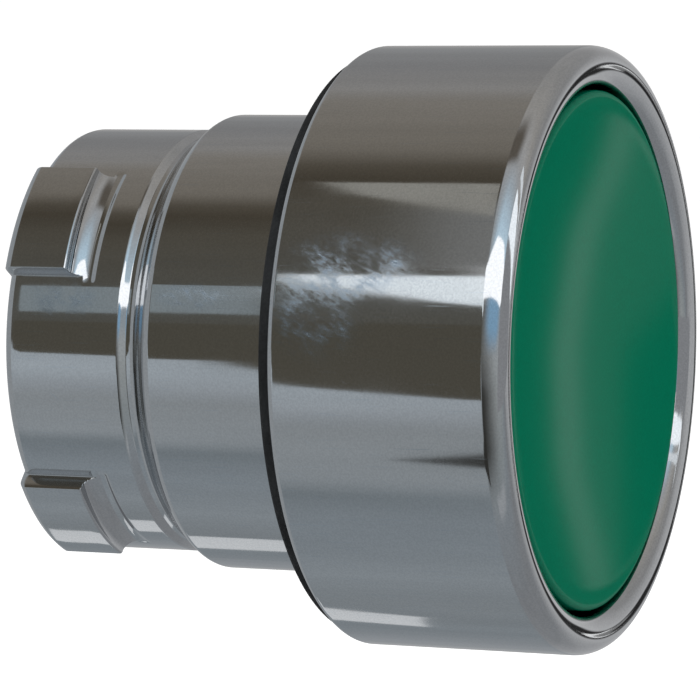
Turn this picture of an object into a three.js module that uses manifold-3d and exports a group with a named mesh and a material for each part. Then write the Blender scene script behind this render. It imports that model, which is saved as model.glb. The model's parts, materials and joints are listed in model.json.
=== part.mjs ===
// Head of an industrial push button for a 22 mm panel hole: a plated metal housing, a flush
// coloured cap and a spring that returns it.
//
// Everything is in millimetres. The button's axis lies along Y with the face towards -Y, and +Z
// is up. The origin is the centre of the panel hole, in the plane of the panel's front face,
// where the gasket seats. A station is a distance forward of that plane along the axis, so what
// lies behind the panel's front face has a negative station.

import * as THREE from 'three';
import { mergeVertices } from 'three/addons/utils/BufferGeometryUtils.js';
import Module from 'manifold-3d';

const wasm = await Module();
wasm.setup();

// Fineness of the round forms, in steps round the axis and along a curve
const largeSteps = 60;
const middleSteps = 40;
const smallSteps = 24;
const ringWireSteps = 6;
const roundSteps = 4;
const plateSteps = 8;
const dishSteps = 4;
const rampSteps = 4;

// Clearances
const seatGap = 0.06; // between pieces that seat on each other
const runGap = 0.3; // beside a piece that slides
const lipGap = 0.1; // between the wiping lip and the skirt
const stopGap = 0.4; // left at the end of the stroke
const cutOverrun = 1; // how far a cutting form runs past the face that it opens

// Stroke of the button
const travel = 4.3;

// Bezel ring
const bezelReach = 3.35; // how far it covers the panel round the hole
const bezelCrestWidth = 0.75; // from its outer edge in to the highest line of its front
const bezelCrestDepth = 1.05; // how long the outer edge takes to round over to that line
const bezelLipWidth = 1.12; // from that line in to the mouth, which the cap fills
const bezelLipDepth = 0.75; // how far the lip falls to the mouth
const bezelSkirtWall = 1.2; // wall round the barrel's flange
const bezelRearRound = 0.35;

// Panel gasket
const gasketThickness = 0.6;
const gasketSetback = 0.5; // how far its edge lies inside the bezel's
const gasketFit = 0.15; // its hole round the throat
const gasketRound = 0.2;

// Barrel: the throat fills the panel hole, the rear part carries the lugs
const throatRadius = 11.15;
const throatLength = 6.8; // behind the panel's front face
const rampLength = 1.45; // from the throat down to the groove
const grooveFloor = 0.2;
const grooveDepth = 0.25; // below the rear part
const grooveWall = 0.3;
const rearWall = 1.1;
const rearRound = 0.45;
const barrelLength = 14.8; // behind the panel's front face
const boreChamfer = 0.3;
const flangeThickness = 2.2;
const shoulderWidth = 0.6; // step in the bore that the guide bush stops on

// Bayonet lugs at the barrel's rear end, as high as the throat
const lugHeight = 0.75; // above the rear part
const lugLength = 3.35;
const lugRound = 0.45;
const lugCove = 1; // length of the hollow curve down the lug's front
const lugPocketDepth = 0.05; // below the rear part
const lugPocketLength = 0.3;
const lugWidthAngle = 31;
const lugPocketAngle = 34;
const firstLugAngle = 52; // counted from +X towards +Z
const lugPairAngle = 92; // the lugs stand in two opposite pairs
const halfTurnAngle = 180;

// Seals in the flange
const sealSeatWidth = 1.9;
const sealThickness = 1.3;
const sealBodyWidth = 1.2;
const sealLipThickness = 0.45;
const retainerThickness = 0.5;
const retainerClearance = 0.6;
const flangeSealGroove = 0.75;

// Cap and its carrier
const capGap = 0.25; // between the cap and the bezel's mouth
const capInset = 0.42; // face behind the bezel's front
const capWall = 1.3;
const capSkirtWall = 1;
const capDish = 0.35; // how far the face is hollowed
const capEdgeRound = 0.3;
const capBead = 0.2;
const capBeadLength = 0.3;
const pressedRoom = 0.95; // between cap and flange when the button is pressed home
const carrierDiscThickness = 1.9;
const carrierSkirtWall = 1.2;
const skirtPastSeal = 0.3;
const carrierBossWall = 1.4; // beside the stem's flat
const carrierBossLength = 2.9;
const socketFloor = 1;
const capSealWire = 0.45;
const capSealInset = 1.6; // ring's centre line inside the cap's skirt

// Guide bush, its snap ring and the spring's seat
const bushFlangeThickness = 2;
const bushLength = 5.1;
const bushHubWall = 2.2; // beside the stem's flat
const bushRibGap = 1.44; // between a rib's end and the snap ring
const bushRibWidth = 1;
const bushRibLength = 1.6;
const bushRibCount = 4;
const snapRingWidth = 1.3;
const snapRingThickness = 0.7;
const snapGrooveDepth = 0.6;
const snapMouthAngle = 24; // opening of the ring, whole
const snapEarRadius = 0.95;
const snapEarHole = 0.4;
const seatThickness = 0.5;
const seatMargin = 0.5; // beyond the spring on both sides

// Return spring, midway between the carrier's boss and skirt
const springWire = 0.8;
const springTurns = 6;
const springStepsPerTurn = 8;
const springWireSides = 5;

// Plunger and what is clipped to its tail
const stemSide = 5;
const stemCornerRound = 0.5;
const journalRadius = 2.4;
const journalEnd = 0.5; // past the last clip
const washerWall = 2.3;
const washerThickness = 0.5;
const clipThickness = 0.6;
const clipGrooveDepth = 0.5;
const clipRelief = 0.55;
const clipWall = 1.7; // outside the journal
const clipMouthAngle = 60; // opening of the clip, whole
const clipProngs = 3;
const clipProngAngle = 36;
const plateThickness = 1.8;
const plateHubWall = 1.9;
const plateArmWidth = 3.2;
const plateArmGap = 1.7; // between an arm's end and the barrel's bore
const plateArmCount = 4;

// Radii that follow
const bezelRadius = throatRadius + bezelReach;
const crestRadius = bezelRadius - bezelCrestWidth;
const mouthRadius = crestRadius - bezelLipWidth;
const rearRadius = throatRadius - lugHeight;
const counterboreRadius = bezelRadius - bezelSkirtWall;
const flangeRadius = counterboreRadius - seatGap;
const flangeStepRadius = flangeRadius - flangeSealGroove;
const flangeSealWire = (counterboreRadius - flangeStepRadius) / 2 - seatGap;
const gasketHole = throatRadius + gasketFit;
const gasketRadius = bezelRadius - gasketSetback;
const grooveRadius = rearRadius - grooveDepth;
const rearBore = rearRadius - rearWall;
const frontBore = rearBore - shoulderWidth;
const sealSeatRadius = frontBore + sealSeatWidth;
const skirtRadius = frontBore - runGap;
const skirtInner = skirtRadius - carrierSkirtWall;
const capRadius = mouthRadius - capGap;
const capInner = capRadius - capSkirtWall;
const discRadius = capInner - seatGap;
const bossRadius = stemSide / 2 + carrierBossWall;
const springMeanRadius = (bossRadius + skirtInner) / 2;
const bushHubRadius = stemSide / 2 + runGap + bushHubWall;
const snapGrooveRadius = rearBore + snapGrooveDepth;
const snapOuter = snapGrooveRadius - seatGap;
const snapInner = snapOuter - snapRingWidth;
const clipGrooveRadius = journalRadius - clipGrooveDepth;
const clipOuter = journalRadius + clipWall;
const plateHubRadius = journalRadius + plateHubWall;
const plateReach = rearBore - plateArmGap;

// Stations that follow, from the panel forward
const bezelRear = gasketThickness;
const flangeFront = bezelRear + flangeThickness;
const flangeStep = flangeFront - 2 * (flangeSealWire + seatGap);
const bezelShoulder = flangeFront + seatGap;
const retainerRear = flangeFront - retainerThickness;
const sealFront = retainerRear - seatGap;
const sealRear = sealFront - sealThickness;
const sealSeat = sealRear - seatGap;
const capRear = flangeFront + pressedRoom + travel;
const discRear = capRear + capBeadLength + seatGap;
const discFront = discRear + carrierDiscThickness;
const capInside = discFront + seatGap;
const capFace = capInside + capWall;
const bezelFront = capFace + capInset;
const bossRear = discRear - carrierBossLength;
const socketEnd = discFront - socketFloor;

// Stations that follow, from the seal back to the tail
const skirtRear = sealSeat - skirtPastSeal;
const boreShoulder = skirtRear - travel - stopGap;
const bushFront = boreShoulder - seatGap;
const bushFlangeRear = bushFront - bushFlangeThickness;
const bushRear = bushFront - bushLength;
const snapGrooveFront = bushFlangeRear;
const snapFront = snapGrooveFront - seatGap;
const snapRear = snapFront - snapRingThickness;
const snapGrooveRear = snapRear - seatGap;
const washerFront = bushRear - seatGap;
const washerRear = washerFront - washerThickness;
const clipFront = washerRear - seatGap;
const clipRear = clipFront - clipThickness;
const plateFront = clipRear - seatGap;
const plateRear = plateFront - plateThickness;
const plateClipFront = plateRear - seatGap;
const plateClipRear = plateClipFront - clipThickness;
const stemEnd = plateClipRear - journalEnd;
const barrelRear = -barrelLength;
const springRear = boreShoulder + seatThickness + seatGap;
const springFront = discRear - seatGap;

// Finishes
const chrome = new THREE.MeshStandardMaterial({ color: 0x9fa3a5, roughness: 0.14, metalness: 1 });
const steel = new THREE.MeshStandardMaterial({ color: 0xb4b6b8, roughness: 0.3, metalness: 1 });
const springSteel = new THREE.MeshStandardMaterial({ color: 0x8f9295, roughness: 0.35, metalness: 1 });
const greenPlastic = new THREE.MeshStandardMaterial({ color: 0x0f6e55, roughness: 0.42, metalness: 0 });
const blackPlastic = new THREE.MeshStandardMaterial({ color: 0x1b1c1e, roughness: 0.5, metalness: 0 });
const rubber = new THREE.MeshStandardMaterial({ color: 0x121314, roughness: 0.8, metalness: 0 });

const radians = THREE.MathUtils.degToRad;

/** Merges shared corners, drops empty triangles and turns the faces outwards. */
function closed(geometry) {
  const bare = new THREE.BufferGeometry();
  bare.setAttribute('position', geometry.getAttribute('position'));
  if (geometry.index) bare.setIndex(geometry.index);
  const merged = mergeVertices(bare);
  const corner = merged.getAttribute('position');
  const kept = [];
  let volume = 0;
  const a = new THREE.Vector3();
  const b = new THREE.Vector3();
  const c = new THREE.Vector3();
  for (let i = 0; i < merged.index.count; i += 3) {
    const face = [merged.index.getX(i), merged.index.getX(i + 1), merged.index.getX(i + 2)];
    if (new Set(face).size < face.length) continue;
    a.fromBufferAttribute(corner, face[0]);
    b.fromBufferAttribute(corner, face[1]);
    c.fromBufferAttribute(corner, face[2]);
    volume += a.dot(b.cross(c));
    kept.push(face);
  }
  const index = kept.flatMap(([i, j, k]) => (volume < 0 ? [i, k, j] : [i, j, k]));
  merged.setIndex(index);
  merged.computeVertexNormals();
  return merged;
}

/** A closed geometry as a solid that can be joined and cut. */
function solid(geometry) {
  const ready = closed(geometry);
  return new wasm.Manifold(
    new wasm.Mesh({
      numProp: 3,
      vertProperties: new Float32Array(ready.getAttribute('position').array),
      triVerts: new Uint32Array(ready.index.array),
    }),
  );
}

/** A solid as a geometry again. */
function geometryOf(body) {
  const mesh = body.getMesh();
  const geometry = new THREE.BufferGeometry();
  geometry.setAttribute('position', new THREE.BufferAttribute(new Float32Array(mesh.vertProperties), 3));
  geometry.setIndex(new THREE.BufferAttribute(new Uint32Array(mesh.triVerts), 1));
  geometry.computeVertexNormals();
  return geometry;
}

/** Turns an outline of [radius, station] points about the button's axis. */
function turned(outline, steps) {
  const onAxis = outline[0][0] === 0;
  const loop = onAxis ? outline : [...outline, outline[0]];
  const points = loop.map(([radius, station]) => new THREE.Vector2(radius, -station));
  return new THREE.LatheGeometry(points, steps);
}

/** Extrudes a shape drawn in X and Z between two stations. */
function extruded(shape, rear, front, curveSegments) {
  const geometry = new THREE.ExtrudeGeometry(shape, {
    depth: front - rear,
    bevelEnabled: false,
    curveSegments,
  });
  geometry.rotateX(Math.PI / 2);
  geometry.translate(0, -rear, 0);
  return geometry;
}

/** Points of a quarter oval in an outline, from one bearing to another, in degrees. */
function ovalArc(centreRadius, centreStation, width, depth, from, to) {
  return Array.from({ length: roundSteps + 1 }, (_, i) => {
    const bearing = radians(from + ((to - from) * i) / roundSteps);
    return [centreRadius + width * Math.cos(bearing), centreStation + depth * Math.sin(bearing)];
  });
}

/** Points of a quarter round in an outline, from one bearing to another, in degrees. */
function arc(centreRadius, centreStation, round, from, to) {
  return ovalArc(centreRadius, centreStation, round, round, from, to);
}

/** A plain ring of rectangular section. */
function flatRing(inner, outer, rear, front, steps) {
  return turned([[inner, rear], [outer, rear], [outer, front], [inner, front]], steps);
}

/** A ring of round section. */
function roundRing(centreRadius, station, wire, steps) {
  const section = Array.from({ length: ringWireSteps }, (_, i) => {
    const bearing = (2 * Math.PI * i) / ringWireSteps;
    return [centreRadius + wire * Math.cos(bearing), station + wire * Math.sin(bearing)];
  });
  return turned(section, steps);
}

/** A wedge about the axis, between two stations, as a cutting form. */
function sector(reach, middleAngle, widthAngle, rear, front) {
  const shape = new THREE.Shape();
  const start = radians(middleAngle - widthAngle / 2);
  const end = radians(middleAngle + widthAngle / 2);
  shape.moveTo(0, 0);
  shape.lineTo(reach * Math.cos(start), reach * Math.sin(start));
  shape.absarc(0, 0, reach, start, end, false);
  shape.lineTo(0, 0);
  return solid(extruded(shape, rear, front, roundSteps));
}

/** A square with rounded corners, centred on the axis. */
function roundedSquare(side, cornerRound) {
  const half = side / 2;
  const flat = half - cornerRound;
  const shape = new THREE.Shape();
  shape.moveTo(flat, -half);
  shape.absarc(flat, -flat, cornerRound, -Math.PI / 2, 0, false);
  shape.absarc(flat, flat, cornerRound, 0, Math.PI / 2, false);
  shape.absarc(-flat, flat, cornerRound, Math.PI / 2, Math.PI, false);
  shape.absarc(-flat, -flat, cornerRound, Math.PI, 1.5 * Math.PI, false);
  return shape;
}

/** A named piece of the head. */
function piece(name, geometry, material) {
  const mesh = new THREE.Mesh(geometry, material);
  mesh.name = name;
  return mesh;
}

// Housing

function bezelRing() {
  const outline = [
    ...ovalArc(crestRadius, bezelFront - bezelCrestDepth, bezelCrestWidth, bezelCrestDepth, 0, 90),
    ...ovalArc(crestRadius, bezelFront - bezelLipDepth, bezelLipWidth, bezelLipDepth, 90, 180).slice(1),
    [mouthRadius, bezelShoulder],
    [counterboreRadius, bezelShoulder],
    [counterboreRadius, bezelRear],
    ...arc(bezelRadius - bezelRearRound, bezelRear + bezelRearRound, bezelRearRound, -90, 0),
  ];
  return piece('bezel_ring', closed(turned(outline, largeSteps)), chrome);
}

/** The eased fall from the throat to the groove. */
function rampPoints() {
  return Array.from({ length: rampSteps + 1 }, (_, i) => {
    const share = i / rampSteps;
    const fall = (1 - Math.cos(Math.PI * share)) / 2;
    return [throatRadius + (grooveRadius - throatRadius) * fall, -throatLength - rampLength * share];
  });
}

/** One bayonet lug, before the hollow down its front is cut. */
function lug(angle) {
  const root = rearRadius - rearWall / 2;
  const top = throatRadius + cutOverrun;
  const front = barrelRear + lugLength + lugCove;
  const ring = [
    [root, barrelRear],
    ...arc(throatRadius - lugRound, barrelRear + lugRound, lugRound, -90, 0),
    [throatRadius, front],
    [root, front],
  ];
  const wedge = sector(top, angle, lugWidthAngle, barrelRear - cutOverrun, front + cutOverrun);
  return solid(turned(ring, largeSteps)).intersect(wedge);
}

/** The hollow down a lug's front and the run-out pocket before it. */
function lugFrontCut(angle) {
  const top = throatRadius + cutOverrun;
  const floor = rearRadius - lugPocketDepth;
  const lugFront = barrelRear + lugLength;
  const coveEnd = lugFront + lugCove;
  const pocketEnd = coveEnd + lugPocketLength;
  const drop = throatRadius - floor;
  const cove = Array.from({ length: roundSteps + 1 }, (_, i) => {
    const bearing = (Math.PI / 2) * (i / roundSteps);
    return [throatRadius - drop * Math.sin(bearing), coveEnd - lugCove * Math.cos(bearing)];
  });
  const ring = [[top, lugFront], ...cove, [rearRadius, pocketEnd], [top, pocketEnd]];
  const reach = top + cutOverrun;
  const wedge = sector(reach, angle, lugPocketAngle, lugFront - cutOverrun, pocketEnd + cutOverrun);
  return solid(turned(ring, largeSteps)).intersect(wedge);
}

function barrel() {
  const outline = [
    [throatRadius, bezelRear],
    [flangeRadius, bezelRear],
    [flangeRadius, flangeStep],
    [flangeStepRadius, flangeStep],
    [flangeStepRadius, flangeFront],
    [sealSeatRadius, flangeFront],
    [sealSeatRadius, sealSeat],
    [frontBore, sealSeat],
    [frontBore, boreShoulder],
    [rearBore, boreShoulder],
    [rearBore, snapGrooveFront],
    [snapGrooveRadius, snapGrooveFront],
    [snapGrooveRadius, snapGrooveRear],
    [rearBore, snapGrooveRear],
    [rearBore, barrelRear + boreChamfer],
    [rearBore + boreChamfer, barrelRear],
    ...arc(rearRadius - rearRound, barrelRear + rearRound, rearRound, -90, 0),
    [rearRadius, -throatLength - rampLength - grooveFloor - grooveWall],
    [grooveRadius, -throatLength - rampLength - grooveFloor],
    ...rampPoints().reverse(),
  ];
  const angles = [0, 1].flatMap((pair) => {
    const first = firstLugAngle + pair * halfTurnAngle;
    return [first, first + lugPairAngle];
  });
  let body = solid(turned(outline, largeSteps));
  for (const angle of angles) body = body.add(lug(angle)).subtract(lugFrontCut(angle));
  return piece('barrel', geometryOf(body), chrome);
}

function panelGasket() {
  const outline = [
    [gasketHole, 0],
    ...arc(gasketRadius - gasketRound, gasketRound, gasketRound, -90, 0),
    [gasketRadius, gasketThickness],
    [gasketHole, gasketThickness],
  ];
  return piece('panel_gasket', closed(turned(outline, largeSteps)), rubber);
}

function flangeSealRing() {
  const centreRadius = (flangeStepRadius + counterboreRadius) / 2;
  const station = flangeFront - flangeSealWire - seatGap;
  const ring = roundRing(centreRadius, station, flangeSealWire, largeSteps);
  return piece('flange_seal_ring', closed(ring), rubber);
}

function lipSeal() {
  const outer = sealSeatRadius - seatGap;
  const bodyInner = outer - sealBodyWidth;
  const lipTip = skirtRadius + lipGap;
  const outline = [
    [bodyInner, sealRear],
    [outer, sealRear],
    [outer, sealFront],
    [bodyInner, sealFront],
    [bodyInner, sealRear + sealLipThickness],
    [lipTip + lipGap, sealFront - sealLipThickness],
    [lipTip, sealFront - 2 * sealLipThickness],
  ];
  return piece('lip_seal', closed(turned(outline, middleSteps)), rubber);
}

function sealRetainer() {
  const inner = skirtRadius + retainerClearance;
  const outer = sealSeatRadius - seatGap;
  const ring = flatRing(inner, outer, retainerRear, flangeFront, middleSteps);
  return piece('seal_retainer', closed(ring), steel);
}

function guideBush() {
  const flangeOuter = rearBore - seatGap;
  const ribRadius = snapInner - bushRibGap;
  let body = solid(
    turned(
      [
        [0, bushFront],
        [flangeOuter, bushFront],
        [flangeOuter, bushFlangeRear],
        [bushHubRadius, bushFlangeRear],
        [bushHubRadius, bushRear],
        [0, bushRear],
      ],
      middleSteps,
    ),
  );
  for (let i = 0; i < bushRibCount; i += 1) {
    const rib = new THREE.BoxGeometry(ribRadius, bushRibLength + seatGap, bushRibWidth);
    rib.translate(ribRadius / 2, -bushFlangeRear + (bushRibLength - seatGap) / 2, 0);
    rib.rotateY((2 * Math.PI * (i + 1 / 2)) / bushRibCount);
    body = body.add(solid(rib));
  }
  const bore = roundedSquare(stemSide + 2 * runGap, stemCornerRound);
  body = body.subtract(solid(extruded(bore, bushRear - cutOverrun, bushFront + cutOverrun, roundSteps)));
  return piece('guide_bush', geometryOf(body), blackPlastic);
}

/** An open ring with two ears, its mouth towards -Z. */
function bushSnapRing() {
  const halfMouth = radians(snapMouthAngle) / 2;
  const start = -Math.PI / 2 + halfMouth;
  const end = 1.5 * Math.PI - halfMouth;
  const ring = new THREE.Shape();
  ring.absarc(0, 0, snapOuter, start, end, false);
  ring.absarc(0, 0, snapInner, end, start, true);
  let body = solid(extruded(ring, snapRear, snapFront, middleSteps / 2));
  for (const [bearing, side] of [[start, 1], [end, -1]]) {
    const lean = bearing + (side * snapEarRadius) / snapInner;
    const reach = snapInner - snapEarRadius / 2;
    const ear = new THREE.Shape();
    ear.absarc(reach * Math.cos(lean), reach * Math.sin(lean), snapEarRadius, 0, 2 * Math.PI, false);
    const hole = new THREE.Shape();
    hole.absarc(reach * Math.cos(lean), reach * Math.sin(lean), snapEarHole, 0, 2 * Math.PI, false);
    body = body
      .add(solid(extruded(ear, snapRear, snapFront, ringWireSteps)))
      .subtract(solid(extruded(hole, snapRear - cutOverrun, snapFront + cutOverrun, ringWireSteps)));
  }
  return piece('bush_snap_ring', geometryOf(body), steel);
}

function springSeat() {
  const inner = springMeanRadius - springWire / 2 - seatMargin;
  const outer = springMeanRadius + springWire / 2 + seatMargin;
  const ring = flatRing(inner, outer, boreShoulder, boreShoulder + seatThickness, middleSteps);
  return piece('spring_seat', closed(ring), steel);
}

/** The centre line of the spring's wire, with a straight tail of one wire's width at each end. */
function springPath() {
  const rear = springRear + springWire / 2;
  const rise = springFront - springWire / 2 - rear;
  const steps = springTurns * springStepsPerTurn;
  const points = Array.from({ length: steps + 1 }, (_, i) => {
    const turn = (2 * Math.PI * i) / springStepsPerTurn;
    const x = springMeanRadius * Math.cos(turn);
    const z = springMeanRadius * Math.sin(turn);
    return new THREE.Vector3(x, -rear - (rise * i) / steps, z);
  });
  const tail = (at, away) => {
    const along = new THREE.Vector3(-Math.sign(at.x) * at.z, 0, Math.abs(at.x)).normalize();
    return at.clone().addScaledVector(along, away * springWire);
  };
  return [tail(points[0], -1), ...points, tail(points[steps], 1)];
}

/** The least gap between two stretches of the wire that are half a turn or more apart. */
function leastSpringGap(points) {
  const apart = springStepsPerTurn / 2;
  let least = Infinity;
  for (let i = 0; i < points.length; i += 1) {
    for (let j = i + apart; j < points.length; j += 1) {
      least = Math.min(least, points[i].distanceTo(points[j]) - springWire);
    }
  }
  return least;
}

function returnSpring() {
  const points = springPath();
  console.log(`return_spring: least gap to itself ${leastSpringGap(points).toFixed(2)} mm`);
  const corners = [];
  const axis = new THREE.Vector3(0, 1, 0);
  points.forEach((at, i) => {
    const before = points[Math.max(i - 1, 0)];
    const after = points[Math.min(i + 1, points.length - 1)];
    const along = after.clone().sub(before).normalize();
    const side = new THREE.Vector3().crossVectors(axis, along).normalize();
    const over = new THREE.Vector3().crossVectors(along, side);
    for (let k = 0; k < springWireSides; k += 1) {
      const bearing = (2 * Math.PI * k) / springWireSides;
      const corner = at
        .clone()
        .addScaledVector(side, (springWire / 2) * Math.cos(bearing))
        .addScaledVector(over, (springWire / 2) * Math.sin(bearing));
      corners.push(corner.x, corner.y, corner.z);
    }
  });
  const index = [];
  const last = (points.length - 1) * springWireSides;
  for (let k = 0; k < springWireSides; k += 1) {
    const next = (k + 1) % springWireSides;
    for (let start = 0; start < last; start += springWireSides) {
      const a = start + k;
      const b = start + next;
      index.push(a, b, a + springWireSides, b, b + springWireSides, a + springWireSides);
    }
    if (k > 0 && next > 0) {
      index.push(0, next, k);
      index.push(last, last + k, last + next);
    }
  }
  const wire = new THREE.BufferGeometry();
  wire.setAttribute('position', new THREE.Float32BufferAttribute(corners, 3));
  wire.setIndex(index);
  return piece('return_spring', closed(wire), springSteel);
}

// Button

function buttonCap() {
  const dish = Array.from({ length: dishSteps + 1 }, (_, i) => {
    const share = i / dishSteps;
    return [(capRadius - capEdgeRound) * share, capFace - capDish * (1 - share * share)];
  });
  const outline = [
    ...dish,
    ...arc(capRadius - capEdgeRound, capFace - capEdgeRound, capEdgeRound, 90, 0).slice(1),
    [capRadius, capRear],
    [capInner - capBead, capRear],
    [capInner - capBead, capRear + capBeadLength],
    [capInner, capRear + capBeadLength],
    [capInner, capInside],
    [0, capInside],
  ];
  return piece('button_cap', closed(turned(outline, largeSteps)), greenPlastic);
}

function capCarrier() {
  const grooveHalf = capSealWire + seatGap;
  const sealCentre = capInner - capSealInset;
  const sealFloor = discFront - 2 * capSealWire - seatGap;
  const outline = [
    [0, discFront],
    [sealCentre - grooveHalf, discFront],
    [sealCentre - grooveHalf, sealFloor],
    [sealCentre + grooveHalf, sealFloor],
    [sealCentre + grooveHalf, discFront],
    [discRadius, discFront],
    [discRadius, discRear],
    [skirtRadius, discRear],
    [skirtRadius, skirtRear],
    [skirtInner, skirtRear],
    [skirtInner, discRear],
    [bossRadius, discRear],
    [bossRadius, bossRear],
    [0, bossRear],
  ];
  const socket = roundedSquare(stemSide + 2 * seatGap, stemCornerRound);
  const body = solid(turned(outline, middleSteps)).subtract(
    solid(extruded(socket, bossRear - cutOverrun, socketEnd, roundSteps)),
  );
  return piece('cap_carrier', geometryOf(body), blackPlastic);
}

function capSealRing() {
  const station = discFront - capSealWire;
  const ring = roundRing(capInner - capSealInset, station, capSealWire, middleSteps);
  return piece('cap_seal_ring', closed(ring), rubber);
}

function plunger() {
  const tail = [
    [0, bushRear + seatGap],
    [journalRadius, bushRear + seatGap],
    [journalRadius, clipFront + seatGap / 2],
    [clipGrooveRadius, clipFront + seatGap / 2],
    [clipGrooveRadius, clipRear - seatGap / 2],
    [journalRadius, clipRear - seatGap / 2],
    [journalRadius, plateClipFront + seatGap / 2],
    [clipGrooveRadius, plateClipFront + seatGap / 2],
    [clipGrooveRadius, plateClipRear - seatGap / 2],
    [journalRadius, plateClipRear - seatGap / 2],
    [journalRadius, stemEnd],
    [0, stemEnd],
  ];
  const square = roundedSquare(stemSide, stemCornerRound);
  const stem = extruded(square, bushRear, socketEnd - seatGap, roundSteps);
  const body = solid(turned(tail, smallSteps)).add(solid(stem));
  return piece('plunger', geometryOf(body), blackPlastic);
}

function stopWasher() {
  const inner = journalRadius + seatGap;
  const ring = flatRing(inner, inner + washerWall, washerRear, washerFront, smallSteps);
  return piece('stop_washer', closed(ring), steel);
}

/** An open clip with prongs that reach into a groove of the stem, its mouth towards -Z. */
function stemClip(name, rear, front) {
  const halfMouth = radians(clipMouthAngle) / 2;
  const start = -Math.PI / 2 + halfMouth;
  const end = 1.5 * Math.PI - halfMouth;
  const prongInner = clipGrooveRadius + seatGap;
  const reliefInner = journalRadius + clipRelief;
  const prong = radians(clipProngAngle);
  const shape = new THREE.Shape();
  shape.absarc(0, 0, clipOuter, start, end, false);
  for (let i = 0; i < clipProngs; i += 1) {
    const middle = end - prong / 2 - ((end - start - prong) * i) / (clipProngs - 1);
    shape.absarc(0, 0, prongInner, middle + prong / 2, middle - prong / 2, true);
    if (i < clipProngs - 1) {
      const next = middle - (end - start - prong) / (clipProngs - 1);
      shape.absarc(0, 0, reliefInner, middle - prong / 2, next + prong / 2, true);
    }
  }
  return piece(name, closed(extruded(shape, rear, front, plateSteps)), springSteel);
}

function pusherPlate() {
  const armHalf = plateArmWidth / 2;
  const side = Math.asin(armHalf / plateHubRadius);
  const quarter = (2 * Math.PI) / plateArmCount;
  const tipCentre = plateReach - armHalf;
  const shape = new THREE.Shape();
  for (let i = 0; i < plateArmCount; i += 1) {
    const bearing = quarter * i;
    const x = tipCentre * Math.cos(bearing);
    const z = tipCentre * Math.sin(bearing);
    shape.absarc(x, z, armHalf, bearing - Math.PI / 2, bearing + Math.PI / 2, false);
    shape.absarc(0, 0, plateHubRadius, bearing + side, bearing + quarter - side, false);
  }
  const rear = plateRear - cutOverrun;
  const front = plateFront + cutOverrun;
  const bore = flatRing(0, journalRadius + seatGap, rear, front, smallSteps);
  const body = solid(extruded(shape, plateRear, plateFront, plateSteps / 2)).subtract(solid(bore));
  return piece('pusher_plate', geometryOf(body), blackPlastic);
}

const housing = new THREE.Group();
housing.add(
  bezelRing(),
  barrel(),
  panelGasket(),
  flangeSealRing(),
  lipSeal(),
  sealRetainer(),
  guideBush(),
  bushSnapRing(),
  springSeat(),
  returnSpring(),
);

const button = new THREE.Group();
button.add(
  buttonCap(),
  capCarrier(),
  capSealRing(),
  plunger(),
  stopWasher(),
  stemClip('retaining_clip', clipRear, clipFront),
  pusherPlate(),
  stemClip('plate_clip', plateClipRear, plateClipFront),
);

const head = new THREE.Group();
head.add(housing, button);

export default head;
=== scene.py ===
"""Visual model of an industrial push button head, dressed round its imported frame.

Sizes are in millimetres and become metres where a mesh is made. The button's axis lies along Y
with the face towards -Y, and +Z is up. A station is a distance forward of the panel's front face
along the axis, so what lies behind the panel has a negative station.
"""

import json
import logging
import math
from collections.abc import Callable, Sequence
from dataclasses import dataclass
from enum import Enum

import bmesh
import bpy
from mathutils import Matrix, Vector

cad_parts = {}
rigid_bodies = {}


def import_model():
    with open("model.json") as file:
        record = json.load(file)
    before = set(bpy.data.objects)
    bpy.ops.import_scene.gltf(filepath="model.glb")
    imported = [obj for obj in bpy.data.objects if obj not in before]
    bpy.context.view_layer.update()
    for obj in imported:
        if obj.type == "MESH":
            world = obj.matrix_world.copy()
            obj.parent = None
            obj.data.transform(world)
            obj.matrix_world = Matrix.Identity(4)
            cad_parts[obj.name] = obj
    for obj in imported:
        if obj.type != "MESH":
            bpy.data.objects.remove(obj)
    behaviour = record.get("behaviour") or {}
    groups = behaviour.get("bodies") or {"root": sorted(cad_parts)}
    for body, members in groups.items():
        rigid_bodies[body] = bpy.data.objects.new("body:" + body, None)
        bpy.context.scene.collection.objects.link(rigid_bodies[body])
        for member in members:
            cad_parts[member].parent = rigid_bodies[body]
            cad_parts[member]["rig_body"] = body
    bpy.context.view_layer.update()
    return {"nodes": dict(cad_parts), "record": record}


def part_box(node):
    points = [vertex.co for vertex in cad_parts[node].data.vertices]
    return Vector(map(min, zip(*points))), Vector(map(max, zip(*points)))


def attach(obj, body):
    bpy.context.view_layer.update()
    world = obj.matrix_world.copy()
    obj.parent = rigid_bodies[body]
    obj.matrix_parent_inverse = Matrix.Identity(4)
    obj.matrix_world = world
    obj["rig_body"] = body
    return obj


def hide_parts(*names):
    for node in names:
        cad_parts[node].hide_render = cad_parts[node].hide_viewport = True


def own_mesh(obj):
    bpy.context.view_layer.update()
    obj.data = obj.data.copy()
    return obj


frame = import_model()

Point = tuple[float, float]  # radius and station, or X and Z, in millimetres
Span = tuple[float, float]  # where it starts and ends
Triple = tuple[float, float, float]  # along or about X, Y and Z
Direction = tuple[float, float]  # angle above -X about the axis, and lean towards +Y, in degrees
Row = Callable[[float], Point]  # a point of a section, at an angle about the axis in degrees
Colour = tuple[float, float, float, float]
Node = bpy.types.Node
Socket = bpy.types.NodeSocket
Tree = bpy.types.NodeTree
Material = bpy.types.Material
Piece = bpy.types.Object
Mesh = bmesh.types.BMesh

log = logging.getLogger("push_button_head")

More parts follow.
